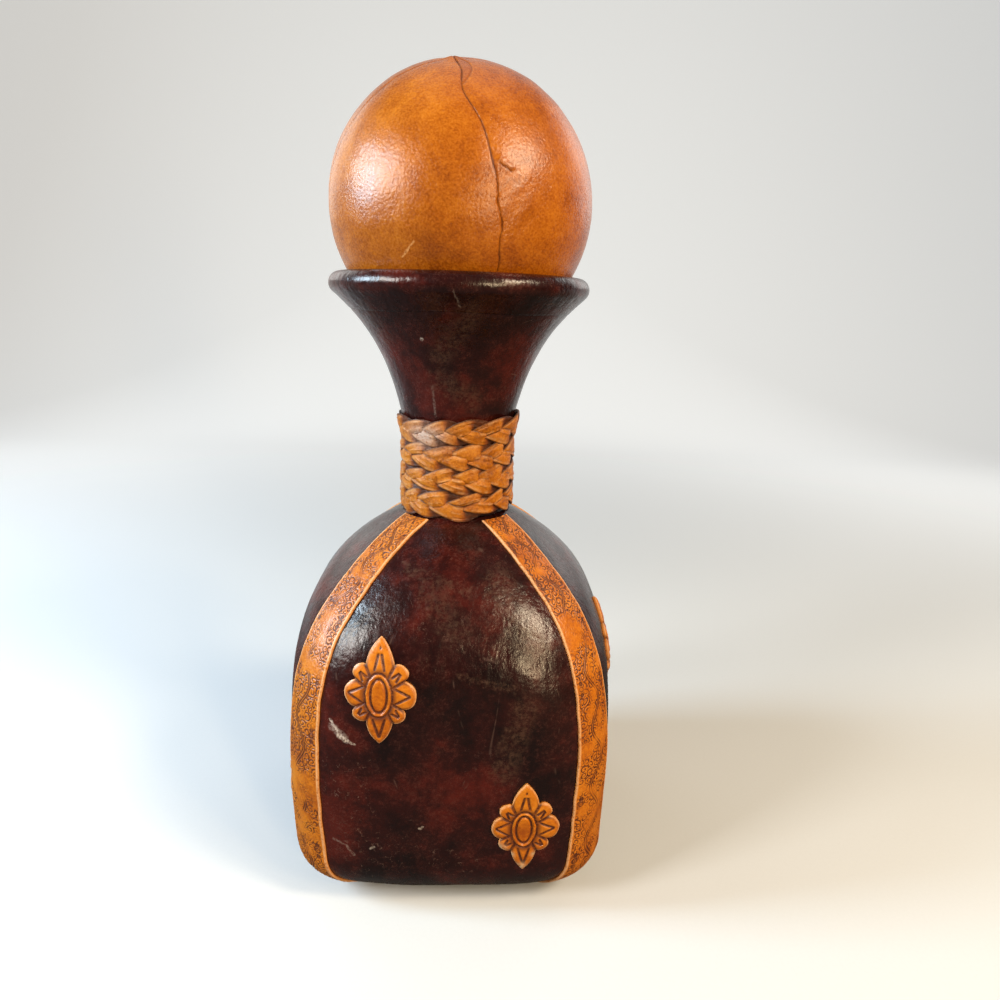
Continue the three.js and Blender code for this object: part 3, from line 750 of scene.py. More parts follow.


# Wear, and one painted highlight among the rubs: the noise that makes it stray and how far out from the axis
# its side begins, then for each mark the face it is on (0 front, 1 right, 2 back, 3 left), where it starts
# and ends across that face and up from the foot, its half width and its strength
STRAY_SIZE = 1.6
SIDE_START = (4, 9)
SCUFFS = [
    (0, (-35.2, 70.0), (-32.6, 65.4), 0.6, 0.8),
    (0, (-32.6, 65.4), (-30.2, 63.6), 1.1, 0.9),
    (0, (-30.2, 63.6), (-28.0, 62.6), 0.5, 0.6),
    (0, (-34.6, 67.6), (-31.0, 64.6), 1.6, 0.3),
    (0, (-8.6, 33.5), (-7.8, 34.1), 0.6, 0.5),
    (0, (-35.3, 28.1), (-31.4, 26.2), 0.5, 0.16),
    (0, (-31.4, 26.2), (-29.0, 22.5), 0.5, 0.2),
    (0, (-23.6, 25.6), (-22.8, 26.2), 0.6, 0.4),
    (0, (-10.5, 179.8), (-10.1, 179.6), 0.6, 0.6),
    (0, (-0.9, 193.0), (1.0, 189.0), 0.35, 0.15),
    (0, (-7.4, 165.5), (-6.6, 156.0), 0.5, 0.12),
    (1, (-6.0, 100.0), (6.0, 104.0), 0.5, 0.15),
    (1, (14.0, 66.0), (18.0, 59.0), 0.5, 0.3),
    (1, (5.0, 181.0), (9.0, 172.0), 0.5, 0.15),
    (2, (-4.0, 88.0), (9.0, 84.0), 0.5, 0.15),
    (2, (-30.0, 48.0), (-26.0, 40.0), 0.5, 0.3),
    (2, (-6.0, 177.0), (2.0, 171.0), 0.5, 0.15),
    (3, (-12.0, 52.0), (-3.0, 44.0), 0.6, 0.3),
    (3, (28.0, 62.0), (31.0, 56.0), 0.5, 0.3),
]
RUBS_AND_PAINTED_HIGHLIGHT = [
    (0, (-14.2, 111.7), (5.3, 106.7), 1.8, 0.4),
    (0, (2.9, 84.9), (19.4, 81.4), 1.4, 0.45),
    (0, (3.6, 187.0), (-4.6, 175.5), 4.8, 0.6),
    (0, (-4.5, 167.5), (4.0, 162.0), 5.2, 0.45),
    (0, (-27.0, 188.0), (-22.0, 179.0), 3.6, 0.4),
    (0, (14.0, 108.0), (25.0, 94.0), 6.0, 0.45),
    (0, (-6.0, 106.0), (2.0, 97.0), 6.0, 0.35),
    # partly a rub and partly a painted highlight that carries the right-hand reflection lower down the front
    (0, (22.6, 75.0), (17.0, 54.0), 5.5, 0.5),
    (1, (4.0, 182.0), (-6.0, 168.0), 5.0, 0.45),
    (1, (-10.0, 92.0), (8.0, 78.0), 6.0, 0.35),
    (2, (2.0, 184.0), (10.0, 170.0), 5.0, 0.45),
    (2, (16.0, 96.0), (2.0, 70.0), 6.0, 0.35),
    (3, (-5.0, 180.0), (3.0, 166.0), 5.0, 0.45),
    (3, (-18.0, 90.0), (-4.0, 74.0), 6.0, 0.35),
]
SCORED = [
    (0, (-31.0, 52.0), (-24.0, 18.0), 11, 1.0),
    (0, (-20.0, 26.0), (4.0, 20.0), 8, 0.7),
    (0, (8.0, 60.0), (24.0, 40.0), 8, 0.35),
    (0, (-18.0, 104.0), (10.0, 92.0), 9, 0.5),
    (1, (-20.0, 40.0), (16.0, 24.0), 11, 0.9),
    (2, (-24.0, 34.0), (20.0, 28.0), 11, 0.9),
    (3, (-20.0, 30.0), (24.0, 42.0), 11, 0.9),
]
BALL_SCUFFS = [
    (0, (-15.1, 201.6), (-11.8, 205.4), 0.4, 0.6),
    (1, (-8.0, 230.0), (-3.0, 226.0), 0.45, 0.4),
    (2, (6.0, 214.0), (14.0, 219.0), 0.45, 0.4),
]


def nearness(at, start, end, width):
    """1 on a line between two points of a flat layout, fading over a width."""
    start = np.array(start, float)
    along = np.array(end, float) - start
    share = np.clip(((at - start) @ along) / (along @ along), 0, 1)
    return bell(np.linalg.norm(at - start - share[..., None] * along, axis=-1), width)


# Pieces of the bottle

FACES = ["front", "right", "back", "left"]
CORNERS = ["front_left", "front_right", "back_right", "back_left"]


def face_angle(u, z):
    """Angle across a face for u from -1 to 1: crowded at a square section's corners, even round a circle."""
    return RIGHT_ANGLE / 2 * mix(u, np.sin(u * RIGHT_ANGLE), squareness(z))


def panel(face):
    """A leather panel: a sheet from corner to corner, from its fold under the base up to the neck."""
    rows = stations((0, 1, 4), (1, 2, 16), (2, 3, 56), (3, 4, 96))
    v, u = grid(rows, np.linspace(-1, 1, 145))
    corner = np.linalg.norm(skin(RIGHT_ANGLE / 2, v)[..., :2], axis=-1)
    trim = PANEL_SEAM / corner / RIGHT_ANGLE
    angle = face * RIGHT_ANGLE + face_angle(u, profile(v)[1]) * (1 - trim)
    inner = on_body(angle, v, 0 * v - LEATHER)[:, ::4]
    return sheet(on_body(angle, v, 0 * v), inner, {})


def angle_along(start, v, distance, steps=24):
    """The angle a given distance round a section from another, found by stepping along it."""
    angle = start + 0 * v
    for _ in range(steps):
        speed = np.linalg.norm(skin(angle + STEP, v) - skin(angle - STEP, v), axis=-1) / (2 * STEP)
        angle = angle + distance / steps / speed
    return angle


def chance(i, j, seed):
    """A number from 0 to 1 for every cell of a lattice: the fraction of a large multiple of a sine."""
    return np.mod(np.sin(127.1 * i + 311.7 * j + 74.7 * seed) * 43758.5453, 1)


def curls(a, b, seed):
    """Small tooled curls: each cell of a jittered lattice has its own spiral, and the nearest one counts."""
    i, j = np.floor(a / CURL_CELL), np.floor(b / CURL_CELL)
    nearest = np.full(a.shape, np.inf)
    cut = 0 * a
    for step_i, step_j in np.ndindex(3, 3):
        ci, cj = i + step_i - 1, j + step_j - 1
        x = a - (ci + 0.5 + CURL_JITTER * (chance(ci, cj, seed) - 0.5)) * CURL_CELL
        y = b - (cj + 0.5 + CURL_JITTER * (chance(ci, cj, seed + 1) - 0.5)) * CURL_CELL
        hand = np.where(chance(ci, cj, seed + 2) > 0.5, 1, -1)
        r = np.hypot(x, y)
        coil = r / CURL_PITCH - (hand * np.arctan2(y, x) / FULL_TURN + chance(ci, cj, seed + 3))
        line = bell(CURL_PITCH * (coil - np.round(coil)), TOOL_LINE) * smooth((r - 0.15) / 0.25)
        cut = np.where(r < nearest, line, cut)
        nearest = np.minimum(r, nearest)
    return cut


def scrollwork(a, b, along, aside, seed):
    """Depth of the tooling, 0 to 1, along and across a strip, in half widths (a, b) and in mm: a waving stem
    among small uneven curls, with beads inside both edges."""
    bend = FULL_TURN / STEM_REPEAT
    stem = (b - STEM_SWAY * np.sin(bend * a)) / np.hypot(1, STEM_SWAY * bend * np.cos(bend * a))
    beside = smooth((np.abs(stem) - 0.07) / 0.04)
    flat = np.stack([along, aside], -1)
    shaky_along = along + 0.5 * ripple(flat, 5, seed + 50)
    shaky_aside = aside + 0.5 * ripple(flat, 5, seed + 60)
    hand_cut = curls(shaky_along, shaky_aside, seed)
    cut = np.maximum(0.9 * hand_cut * beside, bell(np.abs(stem) - STEM_WIDTH, 0.035))
    place = np.mod(a, STEM_REPEAT) - STEM_REPEAT / 2
    for shift, size in BEADS:
        bead = np.hypot(place - shift, np.abs(b) - BEAD_ROW)
        ring = np.maximum(bell(bead - size, 0.04), bell(bead, 0.035))
        cut = np.where(bead < size + 0.05, ring, cut)
    return cut * smooth((0.92 - np.abs(b)) / 0.05)


def corner_strip(corner):
    """A tooled strip over a corner, wide at the base, narrow at the neck and thinned under the collar."""
    rows = stations((1, 2, 110), (2, 3, 210), (3, STRIP_TOP, 330))
    even = np.linspace(-1, 1, 97)
    crowded = np.sin(even * RIGHT_ANGLE * STRIP_CROWDING) / math.sin(RIGHT_ANGLE * STRIP_CROWDING)
    v, b = grid(rows, crowded)
    height = profile(v)[1]
    rise = (height - skin_base) / (SHOULDER_HEIGHT - skin_base)
    half = mix(STRIP_WIDTH_BASE, STRIP_WIDTH_NECK, rise) / 2
    middle = (corner - 0.5) * RIGHT_ANGLE
    centre = on_body(middle + 0 * rows, rows, 0 * rows)
    length = np.concatenate([[0], np.cumsum(np.linalg.norm(np.diff(centre, axis=0), axis=-1))])
    a = np.concatenate([[0], np.cumsum(np.diff(length) / half[1:, 0])])[:, None] + STEM_SHIFT * corner
    line = along_line(length, 40 * corner)
    sway = 0.3 * ripple(line, 38, 21)[:, None] + 0.1 * b * ripple(line, 9, 22)[:, None]
    angle = angle_along(middle, v, b * half + sway)
    at = on_body(angle, v, 0 * v)
    kept = 0.85 + 0.6 * ripple(at, 22, 30 + corner) + 0.5 * ripple(at, 6, 40 + corner)
    for place in STRIP_WORN[corner]:
        kept = kept - 0.6 * bell(height - place, WORN_LENGTH) * (1 - 0.8 * np.abs(b))
    along = length[:, None] + 97 * corner + 0 * b
    cut = scrollwork(a + 0 * b, b, along, b * half, corner) * mix(0.15, 1, smooth(kept))
    tuck = smooth((height - SHOULDER_HEIGHT + STRIP_TUCK) / STRIP_TUCK)
    from_edge = half * (1 - np.abs(b))
    cut_back = STRIP_EDGE - np.minimum(from_edge, STRIP_EDGE)
    rounding = STRIP_EDGE - np.sqrt(STRIP_EDGE**2 - cut_back**2)
    outer = on_body(angle, v, STRIP_LEATHER - STRIP_THINNED * tuck - rounding - TOOL_DEPTH * cut)
    inner = on_body(angle, v, 0 * v + BACK_GAP)[:, ::12]
    edge = smooth((0.8 - from_edge) / 0.4)
    return sheet(outer, inner, {"tooled": cut, "edge": edge})


# Rosette: where neighbouring petals meet (heading in degrees, distance), then the petals after those notches:
# reach, the two powers that make a petal round or pointed, and its V-shaped vein (start and end along it,
# spread at both)
NOTCHES = [
    *((31.5, 8.8), (62.6, 10.1), (114.5, 9.9), (147, 8.0)),
    *((208.6, 7.7), (243.7, 8.7), (297, 9.3), (330.2, 7.9)),
]
ROUND, LEAF, POINT = (2, 0.5), (2, 0.75), (1, 1)
PETALS = [
    (11.9, ROUND, (6.6, 9.6, 0.9, 0.2)),
    (17.0, POINT, (7.4, 12.2, 1.5, 0.5)),
    (10.9, ROUND, (6.2, 8.8, 1.0, 0.1)),
    (10.4, LEAF, (4.6, 9.2, 2.5, 0.0)),
    (10.3, ROUND, (6.2, 8.6, 0.9, 0.2)),
    (15.8, POINT, (7.2, 13.6, 1.8, 0.0)),
    (10.6, ROUND, (6.4, 8.9, 0.9, 0.1)),
    (11.5, LEAF, (4.6, 9.8, 2.5, 0.0)),
]


def petal_layout(turn):
    """For every heading: the petal's number, the place across it from -1 to 1, its half angle and reach."""
    heading = np.radians([notch[0] for notch in NOTCHES])
    depth = np.array([notch[1] for notch in NOTCHES])
    past = np.mod(turn - heading[0], FULL_TURN)
    petal = np.searchsorted(heading - heading[0], past, side="right") - 1
    after = (petal + 1) % len(NOTCHES)
    width = np.mod(heading[after] - heading[petal], FULL_TURN)
    share = (past - heading[petal] + heading[0]) / width
    notch = mix(depth[petal], depth[after], share)
    across = np.clip(2 * share - 1, -1, 1)
    power, root = np.array([p[1] for p in PETALS], float).T
    shape = (1 - np.abs(across) ** power[petal]) ** root[petal]
    length = np.array([p[0] for p in PETALS])
    return petal, across, width / 2, notch + (length[petal] - notch) * shape


def rosette_relief(x, y):
    """Embossing over a rosette: its height, 0 in the grooves and 1 on top, and how dark its grooves are."""
    turn, r = np.arctan2(y, x), np.hypot(x, y)
    petal, across, half_angle, reach = petal_layout(turn)
    vein = np.array([p[2] for p in PETALS])[petal]
    ahead, side = r * np.cos(across * half_angle), r * np.abs(np.sin(across * half_angle))
    start, end, wide_end, narrow_end = np.moveaxis(vein, -1, 0)
    share = (ahead - start) / (end - start)
    leg = bell(side - mix(wide_end, narrow_end, np.clip(share, 0, 1)), 0.48)
    cut = leg * smooth((share + 0.06) / 0.1) * smooth((1.06 - share) / 0.1)
    drop = bell(np.hypot(ahead - 13.8, 1.6 * side), 0.5) * (petal == 1)
    between = bell((1 - np.abs(across)) * half_angle * r, 0.55) * smooth((reach + 0.4 - r) / 0.8)
    shade = 0.36 * smooth(1 - (reach - r) / 2.0) + 0.36 * smooth((np.abs(across) - 0.5) / 0.5)
    cut = np.maximum(np.maximum(cut, drop), np.maximum(between, shade * smooth((reach - r) / 0.7)))
    a, b = ROSETTE_OVAL
    level = np.hypot(x / a, y / b)
    from_ring = (level - 1) * level / np.hypot(x / a**2, y / b**2)
    relief = 1 - 0.4 * across**2 - 0.25 * np.clip(r / reach, 0, 1) ** 4
    ring = bell(from_ring + RING_WIDTH / 2, 0.42)
    dome = smooth((-1.5 - from_ring) / 0.6)
    groove = bell(from_ring + RING_WIDTH + 0.5, 0.42)
    in_ring = from_ring < 0
    relief = np.where(in_ring, np.maximum(ring, DOME_HEIGHT * dome), relief)
    foot = np.maximum(bell(from_ring - 0.35, 0.5), 0.5 * bell(from_ring - 0.8, 1.2))
    cut = np.where(in_ring, groove, np.maximum(cut, foot))
    return relief * (1 - 0.8 * cut), cut


def rosette(face, place, seed, chips=()):
    """An embossed medallion lying on a face: rings from its back over the cut edge to the middle of its
    front. Chips are worn flat and show raw leather."""
    turn = around(320)
    uneven = ROSETTE_SCALE * (1 + 0.012 * ripple(directions(turn), 0.5, seed))
    share = np.concatenate([[0.4, 1.0, 1.0], stations((0.985, 0.9, 6), (0.9, 0.03, 54))])[:, None]
    front = (np.arange(len(share)) > 1)[:, None]
    reach = petal_layout(turn)[3]
    x = share * reach * uneven * np.cos(turn)
    y = share * reach * uneven * np.sin(turn)
    relief, cut = rosette_relief(share * reach * np.cos(turn), share * reach * np.sin(turn))
    worn = 1 - 0.3 * smooth(ripple(np.stack([x, y], -1), 14, seed + 5))
    rim = bell(reach * (1 - share), 0.45)
    raw = 0 * x
    for across, up, size in chips:
        raw = np.maximum(raw, bell(np.hypot(x - across, y - up), size))
    worn = worn * (1 - 0.7 * raw)
    thick = ROSETTE_LEATHER - 0.2 * rim + ROSETTE_RELIEF * relief * worn * (1 - 0.7 * rim)
    rings = on_face(face, place[0] + x, place[1] + y, np.where(front, thick, BACK_GAP))
    top = ROSETTE_LEATHER + DOME_HEIGHT * ROSETTE_RELIEF
    foot, head = on_face(face, np.full(2, place[0]), np.full(2, float(place[1])), np.array([BACK_GAP, top]))
    stained = cut * mix(0.75, 1, worn) * (1 - raw)
    pale = np.maximum(rim * (1 - cut), raw)
    marks = {"tooled": stained, "edge": pale, "raw": raw}
    return capped(rings, foot, head, {key: np.where(front, mark, 0) for key, mark in marks.items()})


binding_edge = flare_end - BINDING_SKIRT


def edge_height(angle):
    """Where the binding's hand-cut edge runs round the neck."""
    return binding_edge + handwork(directions(angle), BINDING_CUT)


def neck_wrap():
    """Leather up the neck: outside and inside as one closed section swept round, with a seam at the back."""
    out_share = np.concatenate([stations((0, 0.99, 84)), [0.997, 1.0]])
    in_share = stations((1, 0, 24))
    share, turn = grid(np.concatenate([out_share, in_share]), around(220))
    outside = np.arange(len(out_share) + len(in_share))[:, None] < len(out_share)
    z = mix(SHOULDER_HEIGHT + GLUE, edge_height(turn), share)
    from_seam = np.abs(np.mod(turn, FULL_TURN) - math.pi) * neck_skin(z)
    seam = sum(depth * bell(from_seam, width) for depth, width in BACK_SEAM)
    uneven = handwork(round_axis(neck_skin(z), z, turn), NECK_SKIN)
    rounding = CUT_ROUND * smooth((share - 0.99) / 0.01)
    r, height = neck_point(z, np.where(outside, uneven - seam - rounding, -LEATHER))
    return hoop(round_axis(r, height, turn))


def rim_binding():
    """Leather folded over the lip: skirt, round and tuck, and the same line set back by its thickness."""
    angle = around(220)
    lower = edge_height(angle) + BINDING_GAP
    skirt = np.linspace(0, 1, 10)[:-1, None] ** 1.5
    skirt_height = mix(lower, flare_end, skirt)
    tuck = np.linspace(flare_end - TUCK_START, flare_end - BINDING_TUCK, 16)
    at = round_axis(neck_skin(skirt_height), skirt_height, angle)
    rounding = -CUT_ROUND * smooth(1 - skirt / 0.02)

    def line(skirt_lift, radius, tuck_lift):
        skirt_r, skirt_z = neck_point(skirt_height, skirt_lift)
        arc_r, arc_z = lip_arc(radius, 30)
        tuck_r, tuck_z = neck_point(tuck, tuck_lift)
        above = [np.concatenate([arc_r, tuck_r]), np.concatenate([arc_z, tuck_z])]
        above_r, above_z = [np.broadcast_to(part[:, None], (len(part), len(angle))) for part in above]
        return np.concatenate([skirt_r, above_r]), np.concatenate([skirt_z, above_z])

    face_r, face_z = line(handwork(at, BINDING_SKIN) + rounding, lip_round, glass_in - GLUE - LEATHER)
    back_r, back_z = line(0 * skirt_height - LEATHER, lip_round - LEATHER, glass_in - GLUE)
    uneven = handwork(round_axis(face_r, face_z, angle), BINDING_FOLD)
    face, back = round_axis(face_r + uneven, face_z, angle), round_axis(back_r, back_z, angle)
    return hoop(np.concatenate([face, back[::-1]]))


def collar_bed(z):
    """Radius that the collar lies on: the neck, and the top of the shoulder below it."""
    return np.where(z < SHOULDER_HEIGHT, profile(profile_at(z))[0], neck_skin(z))


def collar_climb(turns):
    """Height of the plait's middle after a number of turns: level at the front, climbing at the back."""
    return COLLAR_PITCH * (turns + np.sin(FULL_TURN * turns) / FULL_TURN)


def collar_lace(lace):
    """A lace of the plait: a flat lens section carried along a sine from edge to edge of the plait, which
    winds round the neck. It steps over and under at twice the sine's rate, and its ends narrow and go in
    under the plait."""
    plait_radius = neck_radius + GLUE + LACE_RIDE + LACE_BACK
    per_mm = PLAITS_PER_TURN / plait_radius
    start = (COLLAR_OPEN * PLAITS_PER_TURN + lace / LACES) * FULL_TURN
    end = ((COLLAR_TURNS - COLLAR_OPEN) * PLAITS_PER_TURN + lace / LACES) * FULL_TURN
    path = np.linspace(start, end, 1300)
    phase, section = grid(path, around(32))
    line = along_line(path, 9 * lace)
    width = LACE_WIDTH * (1 + handwork(line, LACE_NARROWING))[:, None]
    swing = PLAIT_SWING * (1 + handwork(line, SWING_STRAY))[:, None]
    stray = handwork(line, LACE_STRAY)[:, None]
    ends = smooth((path - start) / LACE_END)[:, None] * smooth((end - path) / LACE_END)[:, None]
    offset = -width / 2 * np.cos(section) * mix(0.35, 1, ends)
    face = -np.sin(section)
    turns = (phase / FULL_TURN - lace / LACES) / PLAITS_PER_TURN
    slope = np.arctan(swing * np.cos(phase) * per_mm)
    foot = SHOULDER_HEIGHT - COLLAR_DROP + PLAIT_SWING + LACE_WIDTH / 2 - collar_climb(COLLAR_OPEN)
    drift = handwork(along_line(turns), PLAIT_DRIFT)
    z = foot + collar_climb(turns) + swing * np.sin(phase) + stray + offset * np.cos(slope)
    crossing = np.sin(2 * (phase + per_mm * offset * np.cos(phase)))
    over = np.tanh(LACE_STEEPNESS * crossing) / math.tanh(LACE_STEEPNESS)
    puff = 1 + 0.3 * np.clip(crossing, 0, 1) + handwork(line, LACE_PUFF)[:, None]
    layout = np.stack([phase * 1.1, offset * 3 + 50 * lace], -1)
    crease = handwork(layout, LACE_CREASE)
    crown = (LACE_CROWN * puff + crease) * np.clip(face, 0, 1) ** LACE_BULGE
    depth = np.where(face > 0, crown, -LACE_BACK * np.clip(-face, 0, 1) ** LACE_BULGE)
    r = collar_bed(z) + plait_radius - neck_radius + LACE_RIDE * over + depth * mix(0.6, 1, ends)
    r = r - LACE_DIVE * (1 - ends)
    angle = FULL_TURN * (turns + drift - 0.5) - offset * np.sin(slope) / r
    rings = round_axis(r, z, angle)
    from_middle = np.abs(2 * offset / width)
    # painted shade: sunk is where a lace dips under another and furrow the hollow of a crease, both added to
    # its dark edges; the shade mark darkens a lace the further under it lies
    sunk = smooth((-0.1 - over) / 0.7)
    furrow = smooth((-0.08 - crease) / 0.15) * smooth(face / 0.4)
    crevice = np.clip(0.9 * sunk + 0.95 * smooth((from_middle - 0.78) / 0.12) + 0.55 * furrow, 0, 1)
    front = np.mod(angle + math.pi, FULL_TURN) - math.pi
    fray = bell(front - FRAY_ANGLE, 0.3) * bell(z - FRAY_HEIGHT, 3.6)
    worn_edge = bell(from_middle - 0.68, 0.13) * smooth((over + 0.2) / 0.6)
    marks = {
        "crevice": crevice * (1 - 0.4 * fray),
        "shade": smooth((0.8 - over) / 1.1),
        "ridge": np.maximum(worn_edge, smooth((crease - 0.04) / 0.16) * smooth(over)),
        "fray": fray,
    }
    return capped(rings, rings[0].mean(0), rings[-1].mean(0), marks)


def glass_bottle():
    """The bottle: up its outside, over the lip and down its inside, on the leather's surface set inwards."""
    angle = around(144)
    v, turn = grid(stations((0, 1, 4), (1, 2, 10), (2, 3, 16), (3, 4, 30)), angle)
    neck = np.linspace(SHOULDER_HEIGHT, flare_end, 40)

    def wall(lift):
        r, z = neck_point(neck, lift)
        return [on_body(turn, v, 0 * v + lift), round_axis(r[:, None], z[:, None], angle)]

    arc_r, arc_z = lip_arc(GLASS_LIP / 2, 16)
    lip = round_axis(arc_r[1:-1, None], arc_z[1:-1, None], angle)
    inside = [part[::-1] for part in wall(glass_in)[::-1]]
    rings = np.concatenate([*wall(glass_out), lip, *inside])
    return capped(rings, (0, 0, skin_base - glass_out), (0, 0, skin_base - glass_in))


def base_pad():
    """The pad that the decanter stands on: a superellipse slab with a rounded edge."""
    turn = around(160)
    half = floor_width - PAD_INSET
    r = superellipse(half, CORNER_POWER, turn)
    inset, rise = np.array([half / 2, 0.5, 0.15, 0]), np.array([0, 0, 0.1, 0.4])
    inset = np.concatenate([inset, inset[::-1]])
    height = np.concatenate([rise, PAD_THICKNESS - rise[::-1]])
    rings = round_axis(r - inset[:, None], height[:, None], turn)
    return capped(rings, (0, 0, 0), (0, 0, PAD_THICKNESS))


# Pieces of the stopper

core_radius = ball_radius - BALL_LEATHER - GLUE
stem_radius = STEM_DIAMETER / 2
bore_radius = neck_radius + glass_in
cork_foot = SHOULDER_HEIGHT + CORK_RISE
socket_radius = stem_radius + FIT
ball_foot = ball_height - math.sqrt(core_radius**2 - socket_radius**2)


def ball_core():
    """A turned ball with a blind hole for the stem."""
    turn = np.linspace(math.pi - math.asin(socket_radius / core_radius), 0.02, 60)
    radii = [PINHOLE, socket_radius, *(core_radius * np.sin(turn))]
    heights = [ball_foot + STEM_SOCKET, ball_foot + STEM_SOCKET, *(ball_height + core_radius * np.cos(turn))]
    return turned(radii, heights, 96)


# The front seam of the ball: distances down from the crown along it, and out from it
PUCKERS = (42, 68)
DART_LENGTH = 17
DART_WIDTH = 3.0
SLIT_START = (42.4, 1.6)
SLIT_END = (45.3, 4.3)


def lean_cover(points, turn):
    """Leans the cover's points about the ball's middle, fully at the crown and not at all round the stem."""
    amount = COVER_LEAN * (1 - smooth((turn - LEAN_START) / LEAN_FADE))
    axis = np.array([math.cos(COVER_LEAN_TURN), math.sin(COVER_LEAN_TURN), 0])
    c, s = np.cos(amount)[..., None], np.sin(amount)[..., None]
    return points * c + np.cross(axis, points) * s + axis * (points @ axis)[..., None] * (1 - c)


def gore(index):
    """A lens-shaped piece of the ball's cover, seam to seam: a sphere whose leather rolls in at the seams.
    The gore right of the front seam is puckered along it, with a dart at the crown and a small slit."""
    trim_turn = math.pi - math.asin((stem_radius + GORE_TRIM) / ball_radius)
    crown_turn = math.asin(CROWN_HOLE / 2 / ball_radius)
    even = np.linspace(-1, 1, 145)
    crowded = (mix(even, np.sin(even * RIGHT_ANGLE), 0.75) + 1) / 2
    turn, u = grid(np.linspace(trim_turn, crown_turn, 261), crowded)
    down = ball_radius * turn
    round_here = ball_radius * np.sin(turn)
    gore_angle = FULL_TURN / GORES

    def seam_line(number):
        """Angle of a seam, which wanders a little where it isn't held by the crown or the stem."""
        held = np.clip(np.sin(turn), 0, 1) ** 2
        stray = handwork(along_line(down, 70 * (number % GORES)), SEAM_STRAY)
        bend = SEAM_BEND * bell(down - BEND_DOWN, BEND_LENGTH) * (number % GORES == 0)
        return SEAM_TURN + number * gore_angle + stray * held / ball_radius - bend

    trim = np.minimum(GORE_SEAM / round_here, gore_angle / 2)
    first, last = seam_line(index) + trim / 2, seam_line(index + 1) - trim / 2
    angle = mix(first, last, u)
    left, right = u * (last - first) * round_here, (1 - u) * (last - first) * round_here
    out = np.minimum(left, right)
    sphere = np.stack([np.sin(turn) * np.sin(angle), -np.sin(turn) * np.cos(angle), np.cos(turn)], -1)
    lift = handwork(sphere * ball_radius, BALL_SKIN)
    drawn = 1 + handwork(along_line(down), SEAM_PULL)
    lift -= SEAM_DEPTH * drawn * bell(out, SEAM_WIDTH) + 0.1 * bell(out, 2.0)
    lift += CROWN_RISE * bell(down, CROWN_WIDTH)
    faint = 0.75 - 0.4 * smooth((down - 46) / 8) + handwork(along_line(down), SEAM_FADING)
    seam = np.clip(faint, 0.12, 0.9) * bell(out, SEAM_WIDTH)
    tint = 0.5 * bell(down, 5)
    if index == 0:
        window = smooth((down - PUCKERS[0]) / 6) * smooth((PUCKERS[1] - down) / 12)
        wrinkle = handwork(np.stack([down + 0.6 * left, 0.5 * left], -1), SEAM_WRINKLE)
        lift += 0.16 * window * wrinkle * bell(left - 4, 5)
        dart = DART_WIDTH * np.sin(np.pi * np.clip(down / DART_LENGTH, 0, 1)) ** 0.7
        crease = np.where(down < DART_LENGTH, bell(left - dart, 0.3), 0)
        lift -= 0.2 * crease
        tint = np.maximum(tint, np.where(down < DART_LENGTH, smooth((dart - left) / 0.5), 0))
        place = np.stack([down, left], -1)
        slit = nearness(place, SLIT_START, SLIT_END, 0.22)
        flap = nearness(place + (1.1, -0.4), SLIT_START, SLIT_END, 1.1)
        lift += 0.28 * flap - 0.3 * slit
        seam = np.maximum(seam, np.maximum(0.5 * crease, 0.85 * slit))

    def cover(radius):
        return lean_cover(sphere * radius[..., None], turn) + (0, 0, ball_height)

    inner = cover(ball_radius - BALL_LEATHER + 0 * lift)[:, ::4]
    return sheet(cover(ball_radius + lift), inner, {"seam": np.clip(seam, 0, 1), "tint": tint})


def stopper_stem():
    """A dowel with softened ends."""
    foot = cork_foot + CORK_LENGTH - CORK_BITE + FIT
    head = ball_foot + STEM_SOCKET - FIT
    softened = np.array([0.6, 0.15, 0])
    radii = stem_radius - np.concatenate([softened, softened[::-1]])
    return turned(radii, np.concatenate([foot + softened[::-1], head - softened]), 72)


def cork():
    """A tapered cork with rounded ends and a hole for the stem, its side pitted."""
    top_radius = bore_radius - FIT
    top = cork_foot + CORK_LENGTH
    arc = np.linspace(0, RIGHT_ANGLE, 6)
    foot_radius = top_radius - CORK_TAPER
    foot_start, top_start = cork_foot + CORK_ROUND, top - CORK_ROUND
    foot_radii = foot_radius - CORK_ROUND + CORK_ROUND * np.sin(arc)
    top_radii = top_radius - CORK_ROUND + CORK_ROUND * np.cos(arc)
    side_radii = np.linspace(foot_radius, top_radius, 22)[1:-1]
    hole_radii = [socket_radius, socket_radius, PINHOLE]
    radii = np.concatenate([[CORK_MIDDLE], foot_radii, side_radii, top_radii, hole_radii])
    foot_heights, top_heights = foot_start - CORK_ROUND * np.cos(arc), top_start + CORK_ROUND * np.sin(arc)
    side_heights = np.linspace(foot_start, top_start, 22)[1:-1]
    hole_heights = [top, top - CORK_BITE, top - CORK_BITE]
    heights = np.concatenate([[cork_foot], foot_heights, side_heights, top_heights, hole_heights])
    rings = round_axis(radii[:, None], heights[:, None], around(120)[None])
    on_side = smooth((radii - socket_radius - 0.5) / 0.5)[:, None]
    pits = smooth((ripple(rings, 2.4, 91) - 0.45) / 0.3) * on_side
    rings[..., :2] *= (1 - 0.02 * pits)[..., None]
    return capped(rings, (0, 0, cork_foot), (0, 0, top - CORK_BITE))


